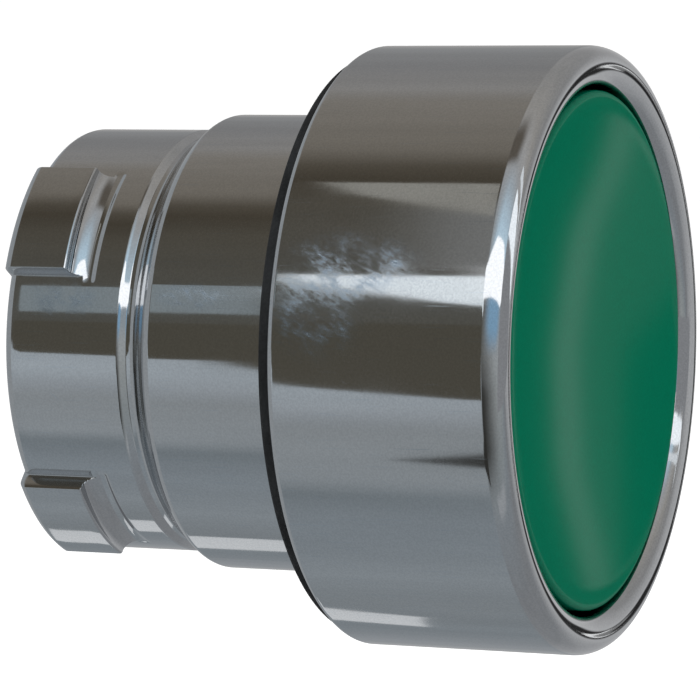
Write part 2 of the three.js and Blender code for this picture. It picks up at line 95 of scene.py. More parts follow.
MM = 0.001  # metres in a millimetre
ON_AXIS = 1e-6  # a radius below this is on the axis
TURN = 360.0  # degrees
ROUND_COLUMNS = 240  # of a round piece that shows
HIDDEN_COLUMNS = 96  # of a round piece inside
EASE_STEPS = 12  # of an eased corner
HOLD = 0.02  # a flat's last row lies this far from a round, so that the flat shades flat
SHARP_ANGLE = math.radians(38)
RIM_ANGLE = math.radians(60)
RIM_SEGMENTS = 3  # across a plate's bevelled rim
DOWN = -90.0  # the bearing of -Z, in degrees
WHOLE_MESH = 1e-8  # corners nearer than this are one corner, in metres
MIDDLE = (0.3, 0.7)  # nearly all of a pattern lies between these
SHOWN = "shown"  # the layer of a mesh that says how much of it shows
MIX_FIRST, MIX_SECOND, MIX_RESULT = 6, 7, 2  # the colour sockets of a mix node

SLOT_OF = {row["node"]: row["material_slot"] for row in frame["record"]["subparts"]}


class Slot(Enum):
    """The finishes that the record names."""

    CHROME = "chrome_plate"
    GREEN = "green_plastic"
    RUBBER = "black_rubber"
    NYLON = "black_plastic"
    ZINC = "zinc_steel"
    SPRING = "spring_steel"


def linear(colour: str) -> Colour:
    """Turns an sRGB hex value to linear light.

    Args:
        colour: six hex digits.

    Returns:
        Red, green, blue and an alpha of one.
    """
    shares = [int(colour[i : i + 2], 16) / 255 for i in (0, 2, 4)]
    red, green, blue = (s / 12.92 if s <= 0.04045 else ((s + 0.055) / 1.055) ** 2.4 for s in shares)
    return red, green, blue, 1.0


def empty_material(name: str) -> tuple[Material, Tree]:
    """Makes a material with no nodes.

    Args:
        name: the material's name.

    Returns:
        The material and its node tree.
    """
    material = bpy.data.materials.new(name)
    material.use_nodes = True
    material.node_tree.nodes.clear()
    return material, material.node_tree


def add_node(
    tree: Tree, kind: str, inputs: dict[str | int, object] | None = None, **settings: object
) -> Node:
    """Adds a node with its settings and links.

    Args:
        tree: the node tree that it joins.
        kind: the node's type, without the words that all of them start with.
        inputs: for each socket, the value that it holds, or the output or node that feeds it.
        settings: the node's own options.

    Returns:
        The new node.
    """
    node = tree.nodes.new("ShaderNode" + kind)
    for name, value in settings.items():
        setattr(node, name, value)
    for key, value in (inputs or {}).items():
        feed = value.outputs[0] if isinstance(value, Node) else value
        if isinstance(feed, Socket):
            tree.links.new(feed, node.inputs[key])
        else:
            node.inputs[key].default_value = feed
    return node


class Surface:
    """A material under construction, with its place on the piece in millimetres."""

    def __init__(self, name: str) -> None:
        """Starts an empty material.

        Args:
            name: the material's name.
        """
        self.material, self.tree = empty_material(name)
        place = self.add("TexCoord")
        metres_to_mm = {0: place.outputs["Object"], "Scale": 1 / MM}
        self.place = self.add("VectorMath", metres_to_mm, operation="SCALE")

    def add(self, kind: str, inputs: dict[str | int, object] | None = None, **settings: object) -> Node:
        """Adds a node to this material; Args and Returns are those of add_node."""
        return add_node(self.tree, kind, inputs, **settings)

    def pattern(self, grain: float | Triple, turn: Triple = (0, 0, 0), detail: float = 2.0) -> Node:
        """Lays a random pattern of a given grain over the piece.

        Args:
            grain: the pattern's size, or its size along each axis, in millimetres.
            turn: how the pattern is turned about each axis, in degrees.
            detail: octaves of finer pattern.

        Returns:
            The pattern, from 0 to 1 and mostly near the middle.
        """
        turned_place = {"Vector": self.place, "Rotation": [math.radians(t) for t in turn]}
        turned = self.add("Mapping", turned_place, vector_type="TEXTURE")
        sizes = (grain,) * 3 if isinstance(grain, float) else grain
        scaled = self.add("VectorMath", {0: turned, 1: [1 / size for size in sizes]}, operation="MULTIPLY")
        return self.add("TexNoise", {"Vector": scaled, "Scale": 1.0, "Detail": detail})

    def marks(self, grain: float | Triple, shown: Span, turn: Triple = (0, 0, 0), detail: float = 2.0) -> Node:
        """Scatters marks of a given grain over the piece.

        Args:
            grain: the marks' size, or their size along each axis, in millimetres.
            shown: the stretch of the pattern that brings a mark out, from not at all to fully.
            turn: how the marks are turned about each axis, in degrees.
            detail: octaves of finer pattern.

        Returns:
            1 where a mark shows fully, falling to 0 where there is none.
        """
        stretch = {"Value": self.pattern(grain, turn, detail), "From Min": shown[0], "From Max": shown[1]}
        return self.add("MapRange", stretch, interpolation_type="SMOOTHSTEP")

    def near(self, centre: Triple, reach: Triple) -> Node:
        """Marks a soft spot on the piece.

        Args:
            centre: the spot's middle, in millimetres.
            reach: how far it spreads along each axis, in millimetres.

        Returns:
            1 at the centre, falling to 0 at the reach.
        """
        away = self.add("VectorMath", {0: self.place, 1: centre}, operation="SUBTRACT")
        shares = self.add("VectorMath", {0: away, 1: reach}, operation="DIVIDE")
        length = self.add("VectorMath", {0: shares}, operation="LENGTH")
        fall = {"Value": length.outputs["Value"], "To Min": 1.0, "To Max": 0.0}
        return self.add("MapRange", fall, interpolation_type="SMOOTHSTEP")

    def finish(self, inputs: dict[str | int, object]) -> Material:
        """Closes the material with a shader.

        Args:
            inputs: what the shader's sockets hold or what feeds them.

        Returns:
            The finished material.
        """
        shader = self.add("BsdfPrincipled", inputs)
        self.add("OutputMaterial", {"Surface": shader})
        return self.material

    def finish_grained(
        self,
        shown: Node,
        colours: tuple[str, str],
        grain: Node,
        roughness: Span,
        depth: float,
        metallic: float = 0.0,
    ) -> Material:
        """Closes a material whose grain sets both its roughness and its relief.

        Args:
            shown: how much of the second colour shows.
            colours: the hex values of the first colour and the second.
            grain: the grain, from 0 to 1.
            roughness: the roughness at the grain's low places and at its high ones.
            depth: the relief's full depth, in millimetres.
            metallic: 1 for a metal and 0 for anything else.

        Returns:
            The finished material.
        """
        tones = {"Factor": shown, MIX_FIRST: linear(colours[0]), MIX_SECOND: linear(colours[1])}
        gloss = {"Value": grain, "From Min": MIDDLE[0], "From Max": MIDDLE[1]}
        gloss["To Min"], gloss["To Max"] = roughness
        return self.finish({
            "Base Color": self.add("Mix", tones, data_type="RGBA").outputs[MIX_RESULT],
            "Metallic": metallic,
            "Roughness": self.add("MapRange", gloss, interpolation_type="SMOOTHSTEP"),
            "Normal": self.add("Bump", {"Height": grain, "Distance": depth * MM}),
        })


@dataclass(frozen=True)
class Scuff:
    """A place where handling has rubbed the plating."""

    centre: Triple
    reach: Triple


@dataclass(frozen=True)
class ChromePlate:
    """Bright chromium on nickel over polished zinc die casting, a little scuffed.

    The eye sees a mirror with a faint blue-grey cast. Its reflections waver slightly, because the
    casting was buffed by hand, and fine scratches and a few rubbed spots scatter the light. These
    scratches and spots also carry a painted pale blue sheen, for the bluish light that they catch.
    Each shown field says which stretch of a pattern brings its mark out, from not at all to fully.
    """

    colour: str = "C3C5C7"
    mottle_colour: str = "B9BBBD"
    mottle_mm: float = 0.10
    mottle_shown: Span = (0.25, 0.75)
    roughness: float = 0.05
    haze_roughness: float = 0.03
    haze_mm: Triple = (3.0, 4.0, 3.0)
    haze_shown: Span = (0.35, 0.75)
    waver_mm: float = 2.6
    waver_depth_mm: float = 0.0006
    peel_mm: float = 0.32
    peel_depth_mm: float = 0.00012
    scratch_mm: Triple = (0.05, 2.4, 0.05)  # real ones are finer; drawn as wide as a pixel of the render
    scratch_shown: Span = (0.73, 0.82)
    scratch_share: float = 0.14
    cross_turn: Triple = (34, 0, 12)
    cross_shown: Span = (0.78, 0.86)
    # painted sheen: a pale blue tint given to the scratches and rubbed spots, standing in for the bluish light that
    # they catch
    scuff_painted_sheen_colour: str = "98B2CA"
    scuffed_roughness: float = 0.36
    speck_mm: Triple = (0.34, 0.42, 0.17)
    speck_turn: Triple = (24, 0, 0)
    speck_shown: Span = (0.12, 0.98)
    cloud_mm: Triple = (1.3, 1.5, 0.8)
    cloud_turn: Triple = (20, 0, 0)
    cloud_shown: Span = (0.28, 0.72)
    scuff_shown: Span = (0.0, 0.75)
    scuffs: tuple[Scuff, ...] = (
        Scuff((-13.7, -4.6, 4.6), (3.0, 4.6, 2.1)),
        Scuff((-14.3, -3.0, 2.2), (2.5, 3.2, 2.9)),
        Scuff((-10.1, 11.7, 2.8), (2.0, 2.5, 1.9)),
        Scuff((-10.8, 4.6, 2.8), (2.0, 2.6, 0.9)),
    )

    def material(self) -> Material:
        """Builds the plating's material.

        Returns:
            The material.
        """
        surface = Surface("chromium_plate_on_zinc_die_casting")
        along = surface.marks(self.scratch_mm, self.scratch_shown, detail=0.0)
        across = surface.marks(self.scratch_mm, self.cross_shown, self.cross_turn, detail=0.0)
        scratched = surface.add("Math", {0: along, 1: across}, operation="ADD", use_clamp=True)
        handled = surface.near(self.scuffs[0].centre, self.scuffs[0].reach)
        for scuff in self.scuffs[1:]:
            spots = {0: handled, 1: surface.near(scuff.centre, scuff.reach)}
            handled = surface.add("Math", spots, operation="ADD", use_clamp=True)
        rubbing = {"Value": handled, "From Min": self.scuff_shown[0], "From Max": self.scuff_shown[1]}
        rubbed = surface.add("MapRange", rubbing, interpolation_type="SMOOTHSTEP")
        specks = surface.marks(self.speck_mm, self.speck_shown, self.speck_turn, detail=5.0)
        clouds = surface.marks(self.cloud_mm, self.cloud_shown, self.cloud_turn, detail=4.0)
        flecks = surface.add("Math", {0: specks, 1: clouds}, operation="MULTIPLY")
        scuffed = surface.add("Math", {0: rubbed, 1: flecks}, operation="MULTIPLY")
        wear = {0: scratched, 1: self.scratch_share, 2: scuffed}
        worn = surface.add("Math", wear, operation="MULTIPLY_ADD", use_clamp=True)
        mottle = surface.marks(self.mottle_mm, self.mottle_shown)
        tones = {"Factor": mottle, MIX_FIRST: linear(self.colour), MIX_SECOND: linear(self.mottle_colour)}
        clean = surface.add("Mix", tones, data_type="RGBA").outputs[MIX_RESULT]
        # mixes the painted blue sheen into the plating wherever there are scratches and rubbed spots, which are real
        # wear
        wear_and_painted_sheen_tones = {"Factor": worn, MIX_FIRST: clean, MIX_SECOND: linear(self.scuff_painted_sheen_colour)}
        haze = surface.marks(self.haze_mm, self.haze_shown, detail=3.0)
        hazy = surface.add("Math", {0: haze, 1: self.haze_roughness, 2: self.roughness}, operation="MULTIPLY_ADD")
        rough = {0: worn, 1: self.scuffed_roughness, 2: hazy}
        waves = {"Height": surface.pattern(self.waver_mm), "Distance": self.waver_depth_mm * MM}
        peel = {"Height": surface.pattern(self.peel_mm, detail=1.0), "Distance": self.peel_depth_mm * MM}
        peel["Normal"] = surface.add("Bump", waves)
        return surface.finish({
            "Base Color": surface.add("Mix", wear_and_painted_sheen_tones, data_type="RGBA").outputs[MIX_RESULT],
            "Metallic": 1.0,
            "Roughness": surface.add("Math", rough, operation="MULTIPLY_ADD"),
            "Normal": surface.add("Bump", peel),
        })


@dataclass(frozen=True)
class SatinPolycarbonate:
    """Green polycarbonate, injection moulded in a finely eroded tool.

    The eye sees a deep, even green. The fine grain breaks most of the gloss up into a faint satin
    sheen, and its polished tops still mirror a soft, paler band along a lit edge.
    """

    colour: str = "00664B"
    grain_colour: str = "006C50"
    roughness: float = 0.5
    ior: float = 1.58
    gloss_share: float = 0.25  # of the skin that the polished tops take up, and the only part that mirrors
    gloss_roughness: float = 0.08
    gloss_grain_depth_mm: float = 0.0004
    grain_mm: float = 0.11
    grain_depth_mm: float = 0.0022

    def material(self) -> Material:
        """Builds the cap's material.

        Returns:
            The material.
        """
        surface = Surface("satin_moulded_green_polycarbonate")
        grain = surface.pattern(self.grain_mm, detail=3.0)
        shown = surface.marks(self.grain_mm, MIDDLE, detail=3.0)
        tones = {"Factor": shown, MIX_FIRST: linear(self.colour), MIX_SECOND: linear(self.grain_colour)}
        return surface.finish({
            "Base Color": surface.add("Mix", tones, data_type="RGBA").outputs[MIX_RESULT],
            "Roughness": self.roughness,
            "IOR": self.ior,
            "Specular IOR Level": 0.0,
            "Normal": surface.add("Bump", {"Height": grain, "Distance": self.grain_depth_mm * MM}),
            "Coat Weight": self.gloss_share,
            "Coat IOR": self.ior,
            "Coat Roughness": self.gloss_roughness,
            "Coat Normal": surface.add("Bump", {"Height": grain, "Distance": self.gloss_grain_depth_mm * MM}),
        })


@dataclass(frozen=True)
class NitrileRubber:
    """Black nitrile rubber, compression moulded.

    The eye sees a matt black that lightens where the surface turns away, with a soft bloom of dust.
    """

    colours: tuple[str, str] = ("0B0C0D", "1B1D1F")
    roughness: Span = (0.70, 0.86)
    grain_mm: float = 0.16
    grain_depth_mm: float = 0.004
    bloom_mm: float = 2.4
    bloom_shown: Span = (0.42, 0.72)

    def material(self) -> Material:
        """Builds the seals' material.

        Returns:
            The material.
        """
        surface = Surface("moulded_black_nitrile_rubber")
        grain = surface.pattern(self.grain_mm, detail=4.0)
        bloom = surface.marks(self.bloom_mm, self.bloom_shown, detail=5.0)
        return surface.finish_grained(bloom, self.colours, grain, self.roughness, self.grain_depth_mm)


@dataclass(frozen=True)
class GlassFilledNylon:
    """Black polyamide 66 with short glass fibres, injection moulded.

    The eye sees a dark charcoal with a broken sheen, where fibres lie just under the skin.
    """

    colours: tuple[str, str] = ("17181A", "2B2D30")
    roughness: Span = (0.54, 0.38)
    fibre_mm: Triple = (0.6, 0.07, 0.07)
    fibre_turn: Triple = (20, 35, 50)
    fibre_shown: Span = (0.55, 0.75)
    grain_depth_mm: float = 0.003

    def material(self) -> Material:
        """Builds the mouldings' material.

        Returns:
            The material.
        """
        surface = Surface("moulded_glass_filled_nylon")
        fibres = surface.pattern(self.fibre_mm, self.fibre_turn)
        shown = surface.marks(self.fibre_mm, self.fibre_shown, self.fibre_turn)
        return surface.finish_grained(shown, self.colours, fibres, self.roughness, self.grain_depth_mm)


@dataclass(frozen=True)
class ZincPlatedSteel:
    """Stamped steel, zinc plated and clear passivated.

    The eye sees a soft silver with a slight blue and yellow drift, and the marks of the stamping.
    """

    colours: tuple[str, str] = ("B4B8BC", "BDB9A9")
    roughness: Span = (0.22, 0.40)
    crystal_mm: float = 0.22
    crystal_depth_mm: float = 0.0015
    drift_mm: float = 3.5
    drift_shown: Span = (0.40, 0.70)

    def material(self) -> Material:
        """Builds the stampings' material.

        Returns:
            The material.
        """
        surface = Surface("clear_passivated_zinc_on_stamped_steel")
        crystals = surface.pattern(self.crystal_mm, detail=3.0)
        drift = surface.marks(self.drift_mm, self.drift_shown)
        return surface.finish_grained(drift, self.colours, crystals, self.roughness, self.crystal_depth_mm, 1.0)


@dataclass(frozen=True)
class SpringSteel:
    """Patented spring steel wire and strip, bright drawn and lightly oiled.

    The eye sees a darker grey metal with fine draw marks that run with the wire.
    """

    colours: tuple[str, str] = ("8B8E91", "6E7073")
    roughness: Span = (0.24, 0.42)
    mark_mm: Triple = (1.2, 0.06, 1.2)
    mark_depth_mm: float = 0.0015
    mark_shown: Span = (0.45, 0.70)

    def material(self) -> Material:
        """Builds the springs' material.

        Returns:
            The material.
        """
        surface = Surface("bright_drawn_spring_steel")
        drawn = surface.pattern(self.mark_mm)
        shown = surface.marks(self.mark_mm, self.mark_shown)
        return surface.finish_grained(shown, self.colours, drawn, self.roughness, self.mark_depth_mm, 1.0)


FINISHES = {
    Slot.CHROME: ChromePlate(),
    Slot.GREEN: SatinPolycarbonate(),
    Slot.RUBBER: NitrileRubber(),
    Slot.NYLON: GlassFilledNylon(),
    Slot.ZINC: ZincPlatedSteel(),
    Slot.SPRING: SpringSteel(),
}


@dataclass(frozen=True)
class Extent:
    """How far a CAD node reaches, in millimetres."""

    radius: float
    rear: float
    front: float

    @classmethod
    def of(cls, node: str) -> "Extent":
        """Measures a node: its reach from the axis along X and its rear and front stations."""
        low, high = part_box(node)
        return cls(high.x / MM, -high.y / MM, -low.y / MM)


@dataclass(frozen=True)
class Corner:
    """A corner of a section, eased by a round."""

    radius: float
    station: float
    ease: float = 0.0


def eased(corners: Sequence[Corner], closed: bool = True) -> list[Point]:
    """Eases the corners of a section.

    Args:
        corners: the section's corners in order. The two ends of an open section stay as they are.
        closed: whether the last corner joins the first.

    Returns:
        The section's points, with a row close beside each round to keep the flats flat.
    """
    points: list[Point] = []
    last = len(corners) - 1
    for i, corner in enumerate(corners):
        at = Vector((corner.radius, corner.station))
        if corner.ease == 0 or (not closed and i in (0, last)):
            points.append(tuple(at))
            continue
        before, after = corners[i - 1], corners[(i + 1) % len(corners)]
        back = (Vector((before.radius, before.station)) - at).normalized()
        ahead = (Vector((after.radius, after.station)) - at).normalized()
        half = back.angle(ahead) / 2
        run = corner.ease / math.tan(half)
        centre = at + (back + ahead).normalized() * corner.ease / math.sin(half)
        first, final = at + back * run - centre, at + ahead * run - centre
        points.append(tuple(at + back * (run + HOLD)))
        for step in range(EASE_STEPS + 1):
            points.append(tuple(centre + first.slerp(final, step / EASE_STEPS).normalized() * corner.ease))
        points.append(tuple(at + ahead * (run + HOLD)))
    return points


def eased_all(ease: float, *points: Point) -> list[Corner]:
    """Makes corners that all have the same round."""
    return [Corner(radius, station, ease) for radius, station in points]


def still(points: Sequence[Point]) -> list[Row]:
    """Makes rows that are alike all the way round."""
    return [lambda angle, point=point: point for point in points]


def even_angles(columns: int) -> list[float]:
    """Spreads columns evenly round the axis, in degrees."""
    return [TURN * i / columns for i in range(columns)]


def smooth(share: float) -> float:
    """Eases a share from 0 to 1, and holds it beyond."""
    held = min(max(share, 0.0), 1.0)
    return held * held * (3 - 2 * held)


def between(first: float, second: float, share: float) -> float:
    """The value a share of the way from the first to the second."""
    return first + (second - first) * share


def swept(rows: Sequence[Row], angles: Sequence[float]) -> Mesh:
    """Sweeps a section about the button's axis.

    Args:
        rows: the section's points. A section that starts on the axis also ends there, and any other
            section closes on itself.
        angles: the angles of the columns about the axis, in degrees from +X towards +Z.

    Returns:
        The closed mesh, in metres.
    """
    mesh = bmesh.new()
    rings = []
    for row in rows:
        ring = []
        for angle in angles:
            radius, station = row(angle)
            turn = math.radians(angle)
            place = (radius * math.cos(turn) * MM, -station * MM, radius * math.sin(turn) * MM)
            ring.append(mesh.verts.new(place))
            if radius < ON_AXIS:
                break
        rings.append(ring)
    pairs = list(zip(rings, rings[1:]))
    if len(rings[0]) > 1:
        pairs.append((rings[-1], rings[0]))
    for inner, outer in pairs:
        for i in range(len(angles)):
            j = (i + 1) % len(angles)
            corners = (inner[i % len(inner)], inner[j % len(inner)], outer[j % len(outer)], outer[i % len(outer)])
            face = list(dict.fromkeys(corners))
            if len(face) > 2:
                mesh.faces.new(face)
    return mesh


def plate(loops: Sequence[Sequence[Point]], rear: float, front: float, ease: float) -> Mesh:
    """Cuts a flat piece from sheet.

    Args:
        loops: the outline and any holes, as X and Z in millimetres.
        rear: the rear face's station.
        front: the front face's station.
        ease: the round of the rims.

    Returns:
        The closed mesh, in metres.
    """
    mesh = bmesh.new()
    sides: list[list[list[bmesh.types.BMVert]]] = []
    for station in (rear, front):
        rings = [[mesh.verts.new((x * MM, -station * MM, z * MM)) for x, z in loop] for loop in loops]
        edges = [mesh.edges.new((ring[i - 1], ring[i])) for ring in rings for i in range(len(ring))]
        bmesh.ops.triangle_fill(mesh, edges=edges, use_beauty=True)
        sides.append(rings)
    for near, far in zip(*sides):
        for i in range(len(near)):
            mesh.faces.new((near[i - 1], near[i], far[i], far[i - 1]))
    bmesh.ops.recalc_face_normals(mesh, faces=mesh.faces[:])
    sharp = [edge for edge in mesh.edges if edge.is_manifold and edge.calc_face_angle() > RIM_ANGLE]
    rims = [edge for edge in sharp if abs(edge.verts[0].co.y - edge.verts[1].co.y) < WHOLE_MESH]
    bmesh.ops.bevel(mesh, geom=rims, offset=ease * MM, segments=RIM_SEGMENTS, profile=0.5, affect="EDGES")
    return mesh


def on_circle(radius: float, bearing: float) -> Point:
    """The point of a circle about the axis at a bearing in degrees."""
    return radius * math.cos(math.radians(bearing)), radius * math.sin(math.radians(bearing))


def arc(centre: Point, radius: float, start: float, end: float, steps: int) -> list[Point]:
    """Draws an arc in X and Z.

    Args:
        centre: the arc's centre.
        radius: its radius.
        start: the first bearing, in degrees.
        end: the last bearing, in degrees.
        steps: how many steps it takes.

    Returns:
        The arc's points.
    """
    bearings = [math.radians(between(start, end, i / steps)) for i in range(steps + 1)]
    return [(centre[0] + radius * math.cos(b), centre[1] + radius * math.sin(b)) for b in bearings]


def stand_for(node: str, mesh: Mesh) -> Piece:
    """Makes the piece that stands for a CAD node, in the node's finish and on its body.

    Args:
        node: the node's name.
        mesh: the piece's mesh, which this uses up.

    Returns:
        The piece.
    """
    bmesh.ops.remove_doubles(mesh, verts=mesh.verts[:], dist=WHOLE_MESH)
    bmesh.ops.recalc_face_normals(mesh, faces=mesh.faces[:])
    data = bpy.data.meshes.new(node + "_fine")
    mesh.to_mesh(data)
    mesh.free()
    data.shade_smooth()
    data.set_sharp_from_angle(angle=SHARP_ANGLE)
    piece = bpy.data.objects.new(node + "_fine", data)
    bpy.context.scene.collection.objects.link(piece)
    weighted = piece.modifiers.new("flat_faces_shade_flat", "WEIGHTED_NORMAL")
    weighted.keep_sharp = True
    slot = Slot(SLOT_OF[node])
    data.materials.append(MATERIALS[slot])
    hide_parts(node)
    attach(piece, frame["nodes"][node]["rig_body"])
    log.info("%s: %d faces, %s", piece.name, len(data.polygons), MATERIALS[slot].name)
    return piece


def turned(node: str, corners: Sequence[Corner], columns: int = ROUND_COLUMNS, closed: bool = True) -> Piece:
    """Makes the piece that stands for a node whose section is alike all the way round.

    Args:
        node: the node's name.
        corners: the section's corners.
        columns: how many columns the mesh has round the axis.
        closed: whether the last corner joins the first.

    Returns:
        The piece.
    """
    return stand_for(node, swept(still(eased(corners, closed)), even_angles(columns)))


def flat_ring(node: str, inner: float, ease: float) -> Piece:
    """Makes the piece that stands for a washer.

    Args:
        node: the washer's node.
        inner: the radius of its hole.
        ease: the round of its edges.

    Returns:
        The piece.
    """
    whole = Extent.of(node)
    rear, front = ((inner, whole.rear), (whole.radius, whole.rear)), ((whole.radius, whole.front), (inner, whole.front))
    return turned(node, eased_all(ease, *rear, *front), HIDDEN_COLUMNS)


MATERIALS: dict[Slot, Material] = {slot: finish.material() for slot, finish in FINISHES.items()}


@dataclass
class Bezel:
    """The plated ring round the cap."""

    skirt_wall: float = 1.2
    crest_width: float = 0.75
    crest_depth: float = 1.05
    lip_width: float = 1.12
    lip_depth: float = 0.75
    rear_round: float = 0.35
    inner_round: float = 0.08
    front_steps: int = 24

    def ring(self) -> Piece:
        """Builds the bezel ring.

        Returns:
            The piece.
        """
        whole = Extent.of("bezel_ring")
        shoulder = Extent.of("barrel").front
        crest = whole.radius - self.crest_width
        mouth = crest - self.lip_width
        bore = whole.radius - self.skirt_wall
        bearings = [math.pi / 2 * i / self.front_steps for i in range(self.front_steps + 1)]
        edge, lip = whole.front - self.crest_depth, whole.front - self.lip_depth
        corners = (
            Corner(whole.radius, edge - HOLD),
            *(Corner(crest + self.crest_width * math.cos(b), edge + self.crest_depth * math.sin(b)) for b in bearings),
            *(Corner(crest - self.lip_width * math.sin(b), lip + self.lip_depth * math.cos(b)) for b in bearings[1:]),
            Corner(mouth, lip - HOLD),
            *eased_all(self.inner_round, (mouth, shoulder), (bore, shoulder), (bore, whole.rear)),
            Corner(whole.radius, whole.rear, self.rear_round),
        )
        return turned("bezel_ring", corners)


@dataclass(frozen=True)
class Lug:
    """A bayonet lug: where it stands and how its sides lean."""

    angle: float
    half_width: float = 15.5
    wall: float = 1.0
    pocket_half_width: float = 17.4
    pocket_wall: float = 2.2
    dense_from: float = 14.6
    dense_to: float = 18.8
    dense_step: float = 0.12
    dense_gap: float = 0.5

    def away(self, angle: float) -> float:
        """How far an angle lies from the lug's middle, in degrees."""
        return abs((angle - self.angle + TURN / 2) % TURN - TURN / 2)

    def near(self, angle: float) -> bool:
        """Whether an angle is among the fine columns at the lug's sides, or too close to them."""
        return self.dense_from - self.dense_gap < self.away(angle) < self.dense_to + self.dense_gap

    def share(self, angle: float) -> float:
        """How much of the lug's height stands at an angle, from 0 to 1."""
        return smooth((self.half_width - self.away(angle)) / self.wall + 0.5)

    def pocket_share(self, angle: float) -> float:
        """How much of the hollow in front of the lug is cut at an angle, from 0 to 1."""
        return smooth((self.pocket_half_width - self.away(angle)) / self.pocket_wall + 0.5)

    def columns(self) -> list[float]:
        """Spreads fine columns over the lug's two sides.

        Returns:
            Their angles, in degrees.
        """
        count = round((self.dense_to - self.dense_from) / self.dense_step)
        offsets = [between(self.dense_from, self.dense_to, i / count) for i in range(count + 1)]
        return [(self.angle + side * offset) % TURN for side in (-1, 1) for offset in offsets]


@dataclass
class Barrel:
    """The plated body that fills the panel hole and carries the bayonet lugs."""

    throat_radius: float = 11.15
    throat_length: float = 6.8
    ramp_length: float = 1.45
    groove_floor: float = 0.2
    groove_depth: float = 0.25
    groove_wall: float = 0.3
    groove_edge_round: float = 0.28
    rear_wall: float = 1.1
    rear_round: float = 0.45
    bore_chamfer: float = 0.3
    shoulder_width: float = 0.6
    seal_seat_width: float = 1.9
    seat_gap: float = 0.06
    lug_height: float = 0.75
    lug_length: float = 3.35
    lug_rear_round: float = 0.45
    lug_edge_round: float = 0.12
    lug_cove: float = 1.0
    pocket_depth: float = 0.05
    pocket_length: float = 0.3
    small_round: float = 0.08
    ramp_steps: int = 16
    wall_rows: int = 6
    base_step: float = 1.5
    lugs: tuple[Lug, ...] = (Lug(52), Lug(144), Lug(232), Lug(324))

    def angles(self) -> list[float]:
        """Spreads the barrel's columns, fine at the lugs' sides and evenly elsewhere.

        Returns:
            Their angles, in degrees.
        """
        fine = [angle for lug in self.lugs for angle in lug.columns()]
        even = even_angles(round(TURN / self.base_step))
        return sorted(fine + [angle for angle in even if not any(lug.near(angle) for lug in self.lugs)])

    def lug_share(self, angle: float) -> float:
        """How much of a lug's height stands at an angle, from 0 to 1."""
        return max(lug.share(angle) for lug in self.lugs)

    def pocket_share(self, angle: float) -> float:
        """How much of a hollow is cut at an angle, from 0 to 1."""
        return max(lug.pocket_share(angle) for lug in self.lugs)

    def rear_rows(self, rear: float, inner: float) -> list[Row]:
        """The section from the rear face round the lugs to the end of their hollows.

        Args:
            rear: the station of the barrel's rear face.
            inner: the radius where the rear face starts, at the bore's chamfer.

        Returns:
            The rows.
        """
        body = self.throat_radius - self.lug_height
        rows: list[Row] = []

        def face(share: float) -> Row:
            """A row of the rear face.

            Args:
                share: how far out it lies, from the bore's chamfer to the round.

            Returns:
                The row.
            """
            plain = body - self.rear_round
            raised = self.throat_radius - self.lug_rear_round
            return lambda angle: (between(inner, between(plain, raised, self.lug_share(angle)), share), rear)

        def edge(bearing: float) -> Row:
            """A row of the round from the rear face to the outside.

            Args:
                bearing: where it lies on the round, in radians.

            Returns:
                The row.
            """

            def at(angle: float) -> Point:
                """The row's point.

                Args:
                    angle: the angle about the axis, in degrees.

                Returns:
                    The point.
                """
                up = self.lug_share(angle)
                top = between(body, self.throat_radius, up)
                ease = between(self.rear_round, self.lug_rear_round, up)
                return top - ease * (1 - math.cos(bearing)), rear + ease * (1 + math.sin(bearing))

            return at

        def side(share: float) -> Row:
            """A row of the outside of the body and the lugs.

            Args:
                share: how far forward it lies, from the rear round to the lug's front edge.

            Returns:
                The row.
            """

            def at(angle: float) -> Point:
                """The row's point.

                Args:
                    angle: the angle about the axis, in degrees.

                Returns:
                    The point.
                """
                up = self.lug_share(angle)
                start = rear + between(self.rear_round, self.lug_rear_round, up)
                end = rear + self.lug_length - self.lug_edge_round
                return between(body, self.throat_radius, up), between(start, end, share)

            return at

        def front(cut: float, station: float) -> Row:
            """A row of the lug's front edge and the hollow before it.

            Args:
                cut: the radius that the hollow is cut down to.
                station: the row's station.

            Returns:
                The row.
            """

            def at(angle: float) -> Point:
                """The row's point at an angle."""
                top = between(body, self.throat_radius, self.lug_share(angle))
                return top - self.pocket_share(angle) * max(top - cut, 0.0), station

            return at

        rows += [face(i / self.wall_rows) for i in range(1, self.wall_rows)]
        rows += [edge(-math.pi / 2 * (1 - i / EASE_STEPS)) for i in range(EASE_STEPS + 1)]
        rows += [side(i / self.wall_rows) for i in range(1, self.wall_rows)]
        rows += [front(cut, station) for cut, station in self.lug_front(rear, body)]
        return rows

    def lug_front(self, rear: float, body: float) -> list[Point]:
        """The lug's front edge, the hollow curve down its front and the run-out before it.

        Args:
            rear: the station of the barrel's rear face.
            body: the radius of the barrel beside the lugs.

        Returns:
            The points, from the lug's top forward.
        """
        top, start = self.throat_radius, rear + self.lug_length
        ease = self.lug_edge_round
        floor = body - self.pocket_depth
        points = []
        for i in range(EASE_STEPS + 1):
            bearing = math.pi / 2 * i / EASE_STEPS
            points.append((top - ease * (1 - math.cos(bearing)), start - ease * (1 - math.sin(bearing))))
        for i in range(1, 2 * EASE_STEPS + 1):
            bearing = math.pi / 2 * i / (2 * EASE_STEPS)
            drop = (top - ease - floor) * math.sin(bearing)
            points.append((top - ease - drop, start + self.lug_cove * (1 - math.cos(bearing))))
        for i in range(1, EASE_STEPS + 1):
            share = i / EASE_STEPS
            rise = self.pocket_depth * smooth(share)
            points.append((floor + rise, start + self.lug_cove + self.pocket_length * share))
        return points

